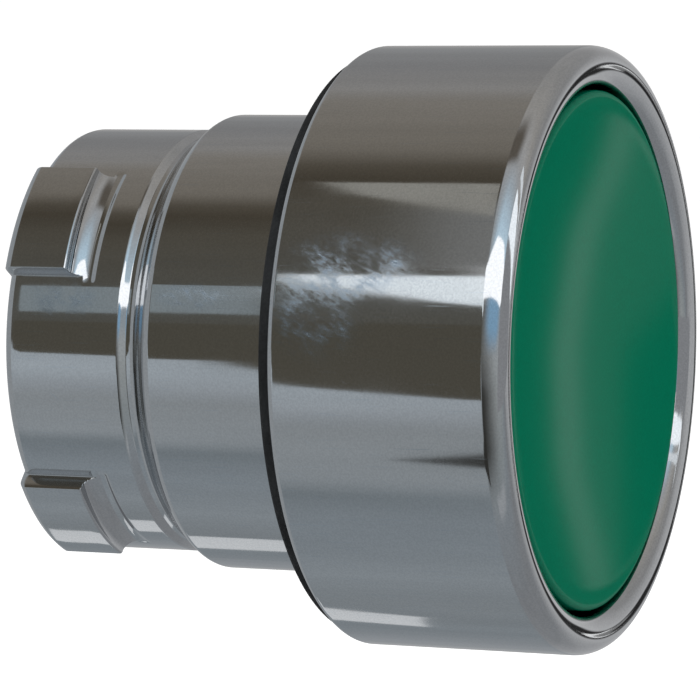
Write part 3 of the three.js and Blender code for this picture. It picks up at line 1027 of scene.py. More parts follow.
    def body(self) -> Piece:
        """Builds the barrel.

        Returns:
            The piece.
        """
        whole = Extent.of("barrel")
        face, flange = Extent.of("bezel_ring").rear, Extent.of("flange_seal_ring")
        seal, bush, clip = Extent.of("lip_seal"), Extent.of("guide_bush"), Extent.of("bush_snap_ring")
        body = self.throat_radius - self.lug_height
        bore = body - self.rear_wall
        front_bore = bore - self.shoulder_width
        seat = front_bore + self.seal_seat_width
        groove = body - self.groove_depth
        step = flange.rear - self.seat_gap
        flange_step = whole.radius - (flange.front - flange.rear) - self.seat_gap
        ramp_rear = -self.throat_length - self.ramp_length
        groove_rear = ramp_rear - self.groove_floor
        seat_rear, shoulder = seal.rear - self.seat_gap, bush.front + self.seat_gap
        clip_radius = clip.radius + self.seat_gap
        clip_front, clip_rear = clip.front + self.seat_gap, clip.rear - self.seat_gap
        ramp = [
            Corner(
                between(groove, self.throat_radius, smooth(i / self.ramp_steps)),
                between(ramp_rear, -self.throat_length, i / self.ramp_steps),
            )
            for i in range(self.ramp_steps + 1)
        ]
        corners = (
            Corner(body, (groove_rear - self.groove_wall + whole.rear + self.lug_length) / 2),
            Corner(body, groove_rear - self.groove_wall, self.groove_edge_round),
            Corner(groove, groove_rear, self.small_round),
            *ramp,
            *eased_all(
                self.small_round,
                (self.throat_radius, face),
                (whole.radius, face),
                (whole.radius, step),
                (flange_step, step),
                (flange_step, whole.front),
                (seat, whole.front),
                (seat, seat_rear),
                (front_bore, seat_rear),
                (front_bore, shoulder),
                (bore, shoulder),
                (bore, clip_front),
                (clip_radius, clip_front),
                (clip_radius, clip_rear),
                (bore, clip_rear),
                (bore, whole.rear + self.bore_chamfer),
            ),
            Corner(bore + self.bore_chamfer, whole.rear),
        )
        rows = still(eased(corners, closed=False))
        rows += self.rear_rows(whole.rear, bore + self.bore_chamfer)
        return stand_for("barrel", swept(rows, self.angles()))


@dataclass
class Seals:
    """The rubber rings, and the steel ring that keeps the lip seal in its seat."""

    gasket_hole_gap: float = 0.15
    gasket_round: float = 0.2
    rim_round: float = 0.06
    lip_body: float = 1.2
    lip_thickness: float = 0.45
    lip_reach: float = 2.04  # of the lip's tip inside the seal's edge
    retainer_width: float = 1.54
    wire_sides: int = 24

    def gasket(self, throat_radius: float) -> Piece:
        """Builds the panel gasket.

        Args:
            throat_radius: the radius of the barrel that it goes round.

        Returns:
            The piece.
        """
        whole = Extent.of("panel_gasket")
        hole = throat_radius + self.gasket_hole_gap
        corners = (
            Corner(hole, whole.rear, self.rim_round),
            Corner(whole.radius, whole.rear, self.gasket_round),
            Corner(whole.radius, whole.front, self.rim_round),
            Corner(hole, whole.front, self.rim_round),
        )
        return turned("panel_gasket", corners)

    def round_ring(self, node: str) -> Piece:
        """Builds a ring of round section.

        Args:
            node: the ring's node.

        Returns:
            The piece.
        """
        whole = Extent.of(node)
        wire = (whole.front - whole.rear) / 2
        middle = (whole.front + whole.rear) / 2
        section = arc((whole.radius - wire, middle), wire, 0, TURN, self.wire_sides)[:-1]
        return stand_for(node, swept(still(section), even_angles(HIDDEN_COLUMNS)))

    def lip_seal(self) -> Piece:
        """Builds the wiping seal round the carrier's skirt.

        Returns:
            The piece.
        """
        whole = Extent.of("lip_seal")
        inner = whole.radius - self.lip_body
        tip = whole.radius - self.lip_reach
        corners = eased_all(
            self.rim_round,
            (inner, whole.rear),
            (whole.radius, whole.rear),
            (whole.radius, whole.front),
            (inner, whole.front),
            (inner, whole.rear + self.lip_thickness),
            (tip, whole.front - self.lip_thickness),
            (tip, whole.front - 2 * self.lip_thickness),
        )
        return turned("lip_seal", corners, HIDDEN_COLUMNS)

    def retainer(self) -> Piece:
        """Builds the flat ring in front of the lip seal."""
        inner = Extent.of("seal_retainer").radius - self.retainer_width
        return flat_ring("seal_retainer", inner, self.rim_round)


@dataclass(frozen=True)
class SquareHole:
    """A square with rounded corners, as a radius at each angle about the axis."""

    side: float
    corner: float

    def radius(self, angle: float) -> float:
        """How far the square reaches at an angle.

        Args:
            angle: the angle about the axis, in degrees.

        Returns:
            The radius.
        """
        turn = math.radians((angle + 45) % 90 - 45)
        half = self.side / 2
        flat = half - self.corner
        if abs(half * math.tan(turn)) <= flat:
            return half / math.cos(turn)
        along = flat * (math.cos(turn) + abs(math.sin(turn)))
        return along + math.sqrt(along * along - 2 * flat * flat + self.corner * self.corner)


@dataclass
class Guide:
    """The guide bush, the snap ring behind it and the washer under the spring."""

    flange_thickness: float = 2.0
    hub_radius: float = 5.0
    rib_reach: float = 7.1
    rib_width: float = 1.0
    rib_length: float = 1.6
    rib_count: int = 4
    first_rib: float = 45.0
    bore_side: float = 5.6
    bore_corner: float = 0.5
    ease: float = 0.12
    snap_width: float = 1.3
    snap_mouth: float = 24.0
    snap_steps: tuple[int, int] = (160, 140)  # along its outer edge and its inner one
    ear_radius: float = 0.95
    ear_hole: float = 0.4
    ear_gap: float = 1.0  # degrees that the ring's inner edge stops short of an ear
    ear_steps: int = 20
    seat_width: float = 1.8
    bush_columns: int = 288

    def rib_radius(self, angle: float) -> float:
        """How far the hub or a rib reaches at an angle.

        Args:
            angle: the angle about the axis, in degrees.

        Returns:
            The radius.
        """
        pitch = TURN / self.rib_count
        away = math.radians(abs((angle - self.first_rib + pitch / 2) % pitch - pitch / 2))
        half = self.rib_width / 2
        if math.sin(away) * self.rib_reach <= half:
            return self.rib_reach
        return max(self.hub_radius, half / math.sin(away))

    def bush(self) -> Piece:
        """Builds the moulded bush that guides the square stem.

        Returns:
            The piece.
        """
        whole = Extent.of("guide_bush")
        hole = SquareHole(self.bore_side, self.bore_corner)
        wide = SquareHole(self.bore_side + 2 * self.ease, self.bore_corner)
        flange_rear = whole.front - self.flange_thickness
        rib_rear = flange_rear - self.rib_length
        rows: list[Row] = [
            lambda angle: (hole.radius(angle), whole.rear + self.ease),
            lambda angle: (hole.radius(angle), whole.front - self.ease),
            lambda angle: (wide.radius(angle), whole.front),
        ]
        outer = (
            Corner(self.hub_radius, whole.front),
            Corner(whole.radius, whole.front, self.ease),
            Corner(whole.radius, flange_rear, self.ease),
            Corner(self.rib_reach + self.ease, flange_rear),
        )
        rows += still(eased(outer, closed=False))
        rows += [
            lambda angle: (self.rib_radius(angle), flange_rear),
            lambda angle: (self.rib_radius(angle), rib_rear),
            lambda angle: (self.hub_radius, rib_rear),
        ]
        rear = (
            Corner(self.hub_radius, rib_rear - self.ease),
            Corner(self.hub_radius, whole.rear, self.ease),
            Corner(self.hub_radius - self.ease * 3, whole.rear),
        )
        rows += still(eased(rear, closed=False))
        rows += [lambda angle: (wide.radius(angle), whole.rear)]
        return stand_for("guide_bush", swept(rows, even_angles(self.bush_columns)))

    def snap_ring(self) -> Piece:
        """Builds the open ring with two ears, its mouth towards -Z.

        Returns:
            The piece.
        """
        whole = Extent.of("bush_snap_ring")
        outer = whole.radius
        inner = outer - self.snap_width
        reach = inner - self.ear_radius / 2
        start, end = DOWN + self.snap_mouth / 2, DOWN + TURN - self.snap_mouth / 2
        lean = math.degrees(self.ear_radius / inner)
        cross = math.degrees(math.acos((inner**2 + reach**2 - self.ear_radius**2) / (2 * inner * reach)))

        def ear(middle: float) -> list[Point]:
            """The outline of an ear, from one of its sides round to the other.

            Args:
                middle: the ear's bearing, in degrees.

            Returns:
                The outline's points.
            """
            centre, first = on_circle(reach, middle), on_circle(inner, middle + cross)
            open_angle = math.degrees(math.atan2(first[1] - centre[1], first[0] - centre[0])) - middle
            open_angle = (open_angle + TURN) % TURN
            return arc(centre, self.ear_radius, middle + open_angle, middle + TURN - open_angle, self.ear_steps)

        def hole(middle: float) -> list[Point]:
            """The outline of an ear's hole."""
            return arc(on_circle(reach, middle), self.ear_hole, 0, TURN, self.ear_steps)[:-1]

        outer_steps, inner_steps = self.snap_steps
        outline = arc((0, 0), outer, start, end, outer_steps)
        outline += ear(end - lean)
        clear = lean + cross + self.ear_gap
        outline += arc((0, 0), inner, end - clear, start + clear, inner_steps)
        outline += ear(start + lean)
        loops = (outline, hole(end - lean), hole(start + lean))
        return stand_for("bush_snap_ring", plate(loops, whole.rear, whole.front, self.ease / 2))

    def spring_seat(self) -> Piece:
        """Builds the washer under the return spring."""
        inner = Extent.of("spring_seat").radius - self.seat_width
        return flat_ring("spring_seat", inner, self.ease / 2)


@dataclass
class ReturnSpring:
    """The compression spring, with a closed turn at each end."""

    wire: float = 0.8
    turns: float = 6.0
    closed_turns: float = 0.9
    closed_pitch: float = 1.02  # of a closed turn, as a share of the wire
    steps_per_turn: int = 48
    sides: int = 14
    travel: float = 4.3

    def rise(self, turn: float, length: float) -> float:
        """How far up the spring a point of the wire lies.

        Args:
            turn: turns from the rear end.
            length: from the first turn's middle to the last one's.

        Returns:
            The rise, in millimetres.
        """
        dead = self.closed_turns * self.wire * self.closed_pitch
        working = self.turns - 2 * self.closed_turns
        if turn < self.closed_turns:
            return dead * turn / self.closed_turns
        if turn > self.turns - self.closed_turns:
            return length - dead * (self.turns - turn) / self.closed_turns
        return dead + (length - 2 * dead) * (turn - self.closed_turns) / working

    def coil(self) -> Piece:
        """Builds the spring, with a mesh of its own.

        Returns:
            The piece.
        """
        whole = Extent.of("return_spring")
        half = self.wire / 2
        middle = whole.radius - half
        length = whole.front - whole.rear - self.wire
        mesh = bmesh.new()
        rings = []
        steps = round(self.turns * self.steps_per_turn)
        for i in range(steps + 1):
            turn = i / self.steps_per_turn
            bearing = 2 * math.pi * turn
            station = whole.rear + half + self.rise(turn, length)
            out = Vector((math.cos(bearing), 0, math.sin(bearing)))
            centre = Vector((middle * out.x, -station, middle * out.z))
            ring = []
            for k in range(self.sides):
                swing = 2 * math.pi * k / self.sides
                corner = centre + (out * math.cos(swing) + Vector((0, math.sin(swing), 0))) * half
                ring.append(mesh.verts.new(corner * MM))
            rings.append(ring)
        for near, far in zip(rings, rings[1:]):
            for k in range(self.sides):
                mesh.faces.new((near[k - 1], near[k], far[k], far[k - 1]))
        mesh.faces.new(rings[0])
        mesh.faces.new(rings[-1])
        piece = stand_for("return_spring", mesh)
        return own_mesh(piece)


@dataclass
class Cap:
    """The green cap with the carrier that it clips onto and the ring between them."""

    wall: float = 1.3
    skirt_wall: float = 1.0
    dish: float = 0.35
    edge_round: float = 0.3
    bead: float = 0.2
    bead_length: float = 0.3
    inner_round: float = 0.06
    dish_steps: int = 28
    disc_thickness: float = 1.9
    carrier_skirt_radius: float = 8.4
    carrier_skirt_wall: float = 1.2
    boss_radius: float = 3.9
    boss_length: float = 2.9
    socket_side: float = 5.12
    socket_corner: float = 0.5
    socket_gap: float = 0.06
    seal_gap: float = 0.06

    def cap(self) -> Piece:
        """Builds the cap with its shallow dish.

        Returns:
            The piece.
        """
        whole = Extent.of("button_cap")
        inner = whole.radius - self.skirt_wall
        flat = whole.radius - self.edge_round
        dish = [
            Corner(flat * share, whole.front - self.dish * (1 - share * share))
            for share in (i / self.dish_steps for i in range(self.dish_steps))
        ]
        inside = Extent.of("cap_carrier").front + self.seal_gap
        corners = (
            *dish,
            Corner(whole.radius, whole.front, self.edge_round),
            *eased_all(
                self.inner_round,
                (whole.radius, whole.rear),
                (inner - self.bead, whole.rear),
                (inner - self.bead, whole.rear + self.bead_length),
                (inner, whole.rear + self.bead_length),
                (inner, inside),
            ),
            Corner(0, inside),
        )
        return turned("button_cap", corners, closed=False)

    def carrier(self) -> Piece:
        """Builds the moulded carrier with its skirt, boss and square socket.

        Returns:
            The piece.
        """
        whole, ring = Extent.of("cap_carrier"), Extent.of("cap_seal_ring")
        socket = SquareHole(self.socket_side, self.socket_corner)
        disc_rear = whole.front - self.disc_thickness
        skirt_inner = self.carrier_skirt_radius - self.carrier_skirt_wall
        wire = (ring.front - ring.rear) / 2
        groove = ring.radius - wire
        groove_inner, groove_outer = groove - wire - self.seal_gap, groove + wire + self.seal_gap
        floor = whole.front - 2 * wire - self.seal_gap
        socket_end = Extent.of("plunger").front + self.socket_gap
        boss_rear = disc_rear - self.boss_length
        corners = (
            Corner(0, whole.front),
            *eased_all(
                self.inner_round,
                (groove_inner, whole.front),
                (groove_inner, floor),
                (groove_outer, floor),
                (groove_outer, whole.front),
                (whole.radius, whole.front),
                (whole.radius, disc_rear),
                (self.carrier_skirt_radius, disc_rear),
                (self.carrier_skirt_radius, whole.rear),
                (skirt_inner, whole.rear),
                (skirt_inner, disc_rear),
                (self.boss_radius, disc_rear),
                (self.boss_radius, boss_rear),
            ),
            Corner(self.boss_radius - 2 * self.inner_round, boss_rear),
        )
        rows = still(eased(corners, closed=False))
        rows += [
            lambda angle: (socket.radius(angle), boss_rear),
            lambda angle: (socket.radius(angle), socket_end),
            lambda angle: (0.0, socket_end),
        ]
        return stand_for("cap_carrier", swept(rows, even_angles(ROUND_COLUMNS)))


@dataclass
class Stem:
    """The plunger and what is clipped to its tail."""

    side: float = 5.0
    corner: float = 0.5
    journal: float = 2.4
    groove_depth: float = 0.5
    groove_play: float = 0.03
    seat_gap: float = 0.06
    ease: float = 0.15
    rim_ease: float = 0.06
    clip_mouth: float = 60.0
    clip_prongs: int = 3
    clip_prong: float = 36.0
    clip_relief: float = 0.55
    arm_width: float = 3.2
    arm_count: int = 4
    hub_wall: float = 1.9
    plate_ease: float = 0.2
    columns: int = 240
    arc_steps: int = 24

    def plunger(self) -> Piece:
        """Builds the square stem with its round, grooved tail.

        Returns:
            The piece.
        """
        whole = Extent.of("plunger")
        square = SquareHole(self.side, self.corner)
        narrow = SquareHole(self.side - 2 * self.ease, self.corner)
        square_rear = Extent.of("guide_bush").rear
        groove = self.journal - self.groove_depth
        corners = [Corner(self.journal, square_rear)]
        for node in ("retaining_clip", "plate_clip"):
            clip = Extent.of(node)
            front, rear = clip.front + self.groove_play, clip.rear - self.groove_play
            corners += eased_all(
                self.rim_ease, (self.journal, front), (groove, front), (groove, rear), (self.journal, rear)
            )
        corners += [Corner(self.journal, whole.rear, self.ease), Corner(0, whole.rear)]
        rows: list[Row] = [
            lambda angle: (0.0, whole.front),
            lambda angle: (narrow.radius(angle), whole.front),
            lambda angle: (square.radius(angle), whole.front - self.ease),
            lambda angle: (square.radius(angle), square_rear),
        ]
        rows += still(eased(corners, closed=False))
        return stand_for("plunger", swept(rows, even_angles(self.columns)))

    def stop_washer(self) -> Piece:
        """Builds the washer that meets the guide bush."""
        return flat_ring("stop_washer", self.journal + self.seat_gap, self.rim_ease)

    def clip(self, node: str) -> Piece:
        """Builds an open clip whose prongs reach into a groove of the stem.

        Args:
            node: the clip's node.

        Returns:
            The piece.
        """
        whole = Extent.of(node)
        start, end = DOWN + self.clip_mouth / 2, DOWN + TURN - self.clip_mouth / 2
        prong_inner = self.journal - self.groove_depth + self.seat_gap
        relief = self.journal + self.clip_relief
        pitch = (end - start - self.clip_prong) / (self.clip_prongs - 1)
        outline = arc((0, 0), whole.radius, start, end, 4 * self.arc_steps)
        for i in range(self.clip_prongs):
            first = end - pitch * i
            outline += arc((0, 0), prong_inner, first, first - self.clip_prong, self.arc_steps // 2)
            if i < self.clip_prongs - 1:
                outline += arc((0, 0), relief, first - self.clip_prong, first - pitch, self.arc_steps)
        return stand_for(node, plate((outline,), whole.rear, whole.front, self.rim_ease))

    def pusher_plate(self) -> Piece:
        """Builds the four-armed plate that works the contact blocks.

        Returns:
            The piece.
        """
        whole = Extent.of("pusher_plate")
        half = self.arm_width / 2
        hub = self.journal + self.hub_wall
        side = math.degrees(math.asin(half / hub))
        pitch = TURN / self.arm_count
        outline: list[Point] = []
        for i in range(self.arm_count):
            bearing = pitch * i
            tip = on_circle(whole.radius - half, bearing)
            outline += arc(tip, half, bearing - TURN / 4, bearing + TURN / 4, self.arc_steps)
            outline += arc((0, 0), hub, bearing + side, bearing + pitch - side, self.arc_steps)
        hole = arc((0, 0), self.journal + self.seat_gap, 0, TURN, 3 * self.arc_steps)[:-1]
        return stand_for("pusher_plate", plate((outline, hole), whole.rear, whole.front, self.plate_ease))


@dataclass(frozen=True)
class Card:
    """A card beside the head, which only its polished surfaces mirror, cut to directions from the head."""

    name: str
    corners: tuple[Direction, ...]
    colour: str
    level: float = 1.0
    soft: float = 0.03  # width of its faded edge, in metres
    nearness: float = 0.0  # how far in front of the tent's cloth it hangs, in metres


@dataclass(frozen=True)
class Pane:
    """A window pane close to one spot of the head, as a strip between two rows of directions from it."""

    name: str
    first: tuple[Direction, ...]
    second: tuple[Direction, ...]
    spot_mm: Triple
    colour: str
    level: float = 1.0
    away: float = 0.04  # how far from the spot it hangs, in metres


@dataclass(frozen=True)
class Veil:
    """A sheet of gauze that follows the tent's curve, which only polished surfaces mirror.

    It spans two angles above -X about the button's axis and two leans towards +Y, and fades towards
    its sides over as many degrees as it says: low turn, high turn, low lean and high lean.
    """

    name: str
    turn: Span
    lean: Span
    fades: tuple[float, float, float, float]
    colour: str
    level: float = 1.0
    nearness: float = 0.0  # how far in front of the tent's cloth it hangs, in metres
    step: float = 3.0  # of its mesh, in degrees

    def shown(self, turn: float, lean: float) -> float:
        """How thick the gauze is in a direction.

        Args:
            turn: the direction's angle above -X, in degrees.
            lean: how far it leans towards +Y, in degrees.

        Returns:
            From 0, where it has faded out, to 1.
        """
        inside = (turn - self.turn[0], self.turn[1] - turn, lean - self.lean[0], self.lean[1] - lean)
        shares = (min(max(depth / fade, 0.0), 1.0) for depth, fade in zip(inside, self.fades) if fade > 0)
        return math.prod(shares)


@dataclass(frozen=True)
class Lamp:
    """A soft lamp that faces the head, with its place and size in metres."""

    name: str
    place: Triple
    size: tuple[float, float]
    watts: float


FAR_LIP = (11.74, -11.79, -5.23)  # the spot of the bezel's far lip that mirrors the window


@dataclass
class Studio:
    """The camera, floor, backdrop, lamps and cards."""

    azimuth: float = -67.608
    elevation: float = 3.723
    distance: float = 0.2
    aim: Triple = (0.0, 0.001185, 0.0)
    sensor: float = 36.0
    lens: float = 211.0
    shift_y: float = -0.0084
    floor_drop: float = 0.06
    sight: Span = (0.002, 10.0)  # the nearest and farthest that the camera sees, in metres
    floor_reach: float = 2.5
    floor_bend: float = 0.625
    backdrop_rise: float = 1.6
    world_level: float = 0.74
    paper_glow: float = 0.5
    paper_fibres: float = 900.0  # in a metre
    paper_relief: float = 0.00002
    tent_radius: float = 0.5
    tent_columns: int = 96
    tent_rows: int = 48
    blend: Span = (0.22, 0.28)  # where the front bands turn into the side ones, as shares of the radius
    side_bands: tuple[tuple[float, str], ...] = (
        (-180, "B4B2B0"), (-152, "A0A4A8"), (-130, "959CA1"), (-110, "9AA0A4"), (-92, "A4ABB0"),
        (-72, "9DA5AB"), (-63, "9CA4AA"), (-54, "8F979C"), (-47, "ABB1B5"), (-28, "A8ADB0"),
        (-22, "B2B8BD"), (-14, "C0C8CE"), (-2, "C0C8CE"), (2, "625E55"), (18, "66655F"),
        (57, "625D53"), (68, "564F44"), (74, "645D52"), (82, "8D867C"), (108, "98928A"),
        (117, "A5A29F"), (135, "979696"), (160, "979899"), (180, "B4B2B0"),
    )
    front_bands: tuple[tuple[float, str], ...] = (
        (-180, "CFCFD0"), (-130, "9B9DA0"), (-100, "989A9D"), (-65, "9CA2A7"), (-44, "A5ABAD"),
        (-14, "B6BABA"), (4, "BABEC0"), (20, "AEB4B8"), (47, "B2B5B6"), (67, "BCBEC0"),
        (84, "C2C0BE"), (102, "B6B2AD"), (125, "A9A7A5"), (150, "A6A5A5"), (180, "CFCFD0"),
    )
    crease_size: float = 0.06
    crease_depth: float = 0.12
    lamps: tuple[Lamp, ...] = (
        Lamp("key_softbox", (-0.278, -0.21, 0.234), (0.34, 0.34), 0.5),
        Lamp("fill_softbox", (0.25, -0.3, 0.25), (0.3, 0.3), 0.32),
        Lamp("top_softbox", (0.0, 0.1, 0.45), (0.4, 0.4), 0.28),
    )
    cards: tuple[Card, ...] = (
        Card("dark_wall", ((-3.5, 31), (-6.2, 24.3), (-11.6, 22.6), (-15.2, 19.2), (-15.2, 16), (12, 16), (12, 31)),
             "5F5B51", 1.0, 0.0015, 0.0),
        Card("window_strip", ((14.5, 15), (30.4, 15), (29.3, 22.4), (26.4, 22.4), (20, 19.4)), "F4FBFF", 1.35, 0.002,
             0.03),
        Card("window_glow", ((17, 22.9), (31, 22.9), (31, 29), (17, 29)), "AAB4B8", 0.8, 0.02, 0.03),
        Card("dark_flag", ((-47, 8), (-40.6, 18.5), (-38.6, 20.2), (-36.4, 19.1), (-31, 16.5), (-23, 8)), "3E3D3A",
             1.0, 0.002, 0.03),
        Card("ceiling_streak", ((52, 18.2), (66.5, 18.2), (66.3, 21.9), (61.5, 21.3)), "AEABA3", 1.0, 0.003, 0.03),
        Card("floor_streak", ((-126, 29), (-125, 22.5), (-128, 20.2), (-119, 20.2), (-117, 21.5), (-112.5, 23.2),
                              (-112.5, 29)), "F0F2F4", 1.0, 0.010, 0.03),
        Card("window", ((21.5, 18), (33, 18), (44, -6), (45, -36), (35, -60), (22, -48)), "FCFDFF", 1.9, 0.03, 0.05),
        Card("side_strip", ((180.8, -21.4), (181.8, -20.3), (182.6, -18.7), (184, -17.8), (185.5, -18.2), (187, -20.2),
                            (187, -21.8), (185.5, -19.8), (184, -19.4), (182.6, -20.3), (181.8, -21.9), (180.8, -23)),
             "FFFFFF", 1.15, 0.003, 0.035),
        Card("side_glow", ((180.8, -21.4), (181.8, -20.3), (182.6, -18.7), (184, -17.8), (185.5, -18.2), (187, -20.2),
                           (187, -22), (184, -22), (183, -26), (180.8, -26)), "FFFFFF", 0.3, 0.006, 0.03),
    )
    panes: tuple[Pane, ...] = (
        Pane("far_pane", ((140, -70), (116, -75), (58, -67), (41, -49), (35, -30), (34, -18)),
             ((140, -67.5), (119, -72), (71, -64), (53, -47), (46, -29), (45, -18)), FAR_LIP,
             "F2F6FA", 1.75),
        Pane("far_frame", ((140, -71), (117, -76), (58, -68), (40, -49), (34, -30), (33, -18)),
             ((172, -65), (158, -85), (1, -74), (-2, -54), (-3, -33), (-3, -18)), FAR_LIP,
             "A2A3A6", 1.0),
        Pane("far_sash", ((140, -66), (120, -71), (74, -62.6), (56.6, -47), (49.5, -28), (48, -18)),
             ((140, -64.5), (122, -69), (78, -61.6), (60, -46), (53, -28), (51.5, -18)), FAR_LIP,
             "F2F6FA", 1.2),
    )
    veils: tuple[Veil, ...] = (
        Veil("window_halo", (28, 77), (-66, 17), (6, 35, 26, 26), "D4EEFF", 1.15, 0.045),
        Veil("blue_card", (0, 32), (-56, 14), (12, 4, 20, 26), "98C0DF", 1.0, 0.035),
        Veil("wall_return", (-14, 24), (-47, 18), (10, 6, 78, 2), "70706C", 1.0, 0.025),
        Veil("dark_veil", (-57, 4), (-58, 16.5), (24, 16, 75, 3), "3E3D3A", 1.0, 0.03),
        Veil("ceiling_return", (71, 100), (-24, 17), (6, 14, 22, 3), "6E675E", 1.0, 0.02),
        Veil("wall_light", (30, 62), (14, 21), (3, 6, 1, 1.8), "91918F", 1.0, 0.02),
        Veil("rear_glow", (-180, 180), (33, 88), (0, 0, 6, 0), "ADB1B4", 1.0, 0.01),
        Veil("low_spot", (-62, -48), (-46, -2), (5, 5, 14, 6), "EEF2F6", 0.55, 0.035),
        Veil("side_dark", (178, 190), (-32, -10), (1.5, 1.5, 2, 3), "303030", 1.0, 0.01),
    )

    def camera(self) -> Piece:
        """Sets up the camera at the photograph's viewing angle.

        Returns:
            The camera.
        """
        azimuth, elevation = math.radians(self.azimuth), math.radians(self.elevation)
        level = math.cos(elevation)
        back = Vector((math.sin(azimuth) * level, -math.cos(azimuth) * level, math.sin(elevation)))
        data = bpy.data.cameras.new("camera")
        data.sensor_width, data.lens, data.shift_y = self.sensor, self.lens, self.shift_y
        data.clip_start, data.clip_end = self.sight
        camera = bpy.data.objects.new("camera", data)
        camera.location = Vector(self.aim) + back * self.distance
        camera.rotation_mode = "QUATERNION"
        camera.rotation_quaternion = (-back).to_track_quat("-Z", "Y")
        bpy.context.scene.collection.objects.link(camera)
        bpy.context.scene.camera = camera
        return camera

    def seen(self, tree: Tree) -> Socket:
        """Tells whether the camera, a mirror or a clear piece looks at a surface.

        Args:
            tree: the node tree that asks.

        Returns:
            1 for such a ray, otherwise 0.
        """
        path = add_node(tree, "LightPath")
        mirrored = {0: path.outputs["Is Camera Ray"], 1: path.outputs["Is Glossy Ray"]}
        either = add_node(tree, "Math", mirrored, operation="MAXIMUM")
        clear = {0: either.outputs[0], 1: path.outputs["Is Transmission Ray"]}
        return add_node(tree, "Math", clear, operation="MAXIMUM").outputs[0]

    def world(self) -> None:
        """Lights the head evenly from all round and shows white behind it."""
        world = bpy.data.worlds.new("white_studio")
        world.use_nodes = True
        tree = world.node_tree
        tree.nodes.clear()
        white = linear("FFFFFF")
        light = add_node(tree, "Background", {"Color": white, "Strength": self.world_level})
        shown = add_node(tree, "Background", {"Color": white, "Strength": 1.0})
        choice = {0: self.seen(tree), 1: light.outputs[0], 2: shown.outputs[0]}
        mix = add_node(tree, "MixShader", choice)
        add_node(tree, "OutputWorld", {"Surface": mix.outputs[0]})
        bpy.context.scene.world = world

    def paper(self) -> Material:
        """Makes the floor's pale paper, which keeps the head's shadow and is clear from below.

        Returns:
            The material.
        """
        material, tree = empty_material("pale_seamless_paper")
        place = add_node(tree, "TexCoord")
        fibre = add_node(tree, "TexNoise", {"Vector": place.outputs["Object"], "Scale": self.paper_fibres})
        relief = add_node(tree, "Bump", {"Height": fibre.outputs[0], "Distance": self.paper_relief})
        matt = {"Color": linear("EFEFEF"), "Normal": relief.outputs[0]}
        paper = add_node(tree, "BsdfDiffuse", matt)
        glow = add_node(tree, "Emission", {"Color": linear("FFFFFF"), "Strength": self.paper_glow})
        lit = add_node(tree, "AddShader", {0: paper.outputs[0], 1: glow.outputs[0]})
        pale = add_node(tree, "MixShader", {0: self.seen(tree), 1: paper.outputs[0], 2: lit.outputs[0]})
        side = add_node(tree, "NewGeometry")
        clear = add_node(tree, "BsdfTransparent")
        below = {0: side.outputs["Backfacing"], 1: pale.outputs[0], 2: clear.outputs[0]}
        either = add_node(tree, "MixShader", below)
        add_node(tree, "OutputMaterial", {"Surface": either.outputs[0]})
        return material

    def sweep(self) -> Piece:
        """Lays the floor and curves it up into a backdrop all round.

        Returns:
            The sweep.
        """
        bend, flat = self.floor_bend, self.floor_reach - self.floor_bend
        outline = [(0.0, 0.0), (flat, 0.0), *arc((flat, bend), bend, DOWN, 0, EASE_STEPS)[1:]]
        outline.append((self.floor_reach, self.backdrop_rise))
        mesh = bmesh.new()
        rings = []
        for radius, rise in outline:
            angles = [math.radians(a) for a in even_angles(HIDDEN_COLUMNS)]
            height = rise - self.floor_drop
            if radius < ON_AXIS:
                rings.append([mesh.verts.new((0, 0, height))])
            else:
                rings.append([mesh.verts.new((radius * math.cos(a), radius * math.sin(a), height)) for a in angles])
        for inner, outer in zip(rings, rings[1:]):
            for i in range(HIDDEN_COLUMNS):
                j = (i + 1) % HIDDEN_COLUMNS
                corners = (inner[i % len(inner)], outer[i], outer[j], inner[j % len(inner)])
                mesh.faces.new(list(dict.fromkeys(corners)))
        sweep = self.stage_piece("floor_and_backdrop", mesh, self.paper())
        sweep.visible_glossy = False
        return sweep

    def stage_piece(self, name: str, mesh: Mesh, material: Material) -> Piece:
        """Puts a piece of the studio in place.

        Args:
            name: the piece's name.
            mesh: its mesh in metres, which this uses up.
            material: its material.

        Returns:
            The piece.
        """
        data = bpy.data.meshes.new(name)
        mesh.to_mesh(data)
        mesh.free()
        data.shade_smooth()
        data.materials.append(material)
        piece = bpy.data.objects.new(name, data)
        bpy.context.scene.collection.objects.link(piece)
        return piece

    def mirrored_only(self, piece: Piece) -> Piece:
        """Hides a piece of the studio from all but polished surfaces.

        Args:
            piece: the piece.

        Returns:
            The same piece.
        """
        piece.visible_camera = False
        piece.visible_diffuse = False
        piece.visible_shadow = False
        piece.visible_transmission = False
        return piece

    def banded(self, tree: Tree, share: Socket, bands: Sequence[tuple[float, str]]) -> Socket:
        """Colours the tent in bands about the button's axis.

        Args:
            tree: the cloth's node tree.
            share: the angle above -X as a share of a turn, with -X at the middle.
            bands: angles in degrees and the colours there.

        Returns:
            The colour.
        """
        ramp = add_node(tree, "ValToRGB", {0: share})
        stops = ramp.color_ramp.elements
        while len(stops) < len(bands):
            stops.new(0.5)
        for stop, (angle, colour) in zip(stops, bands):
            stop.position = (angle + TURN / 2) / TURN
            stop.color = linear(colour)
        return ramp.outputs[0]

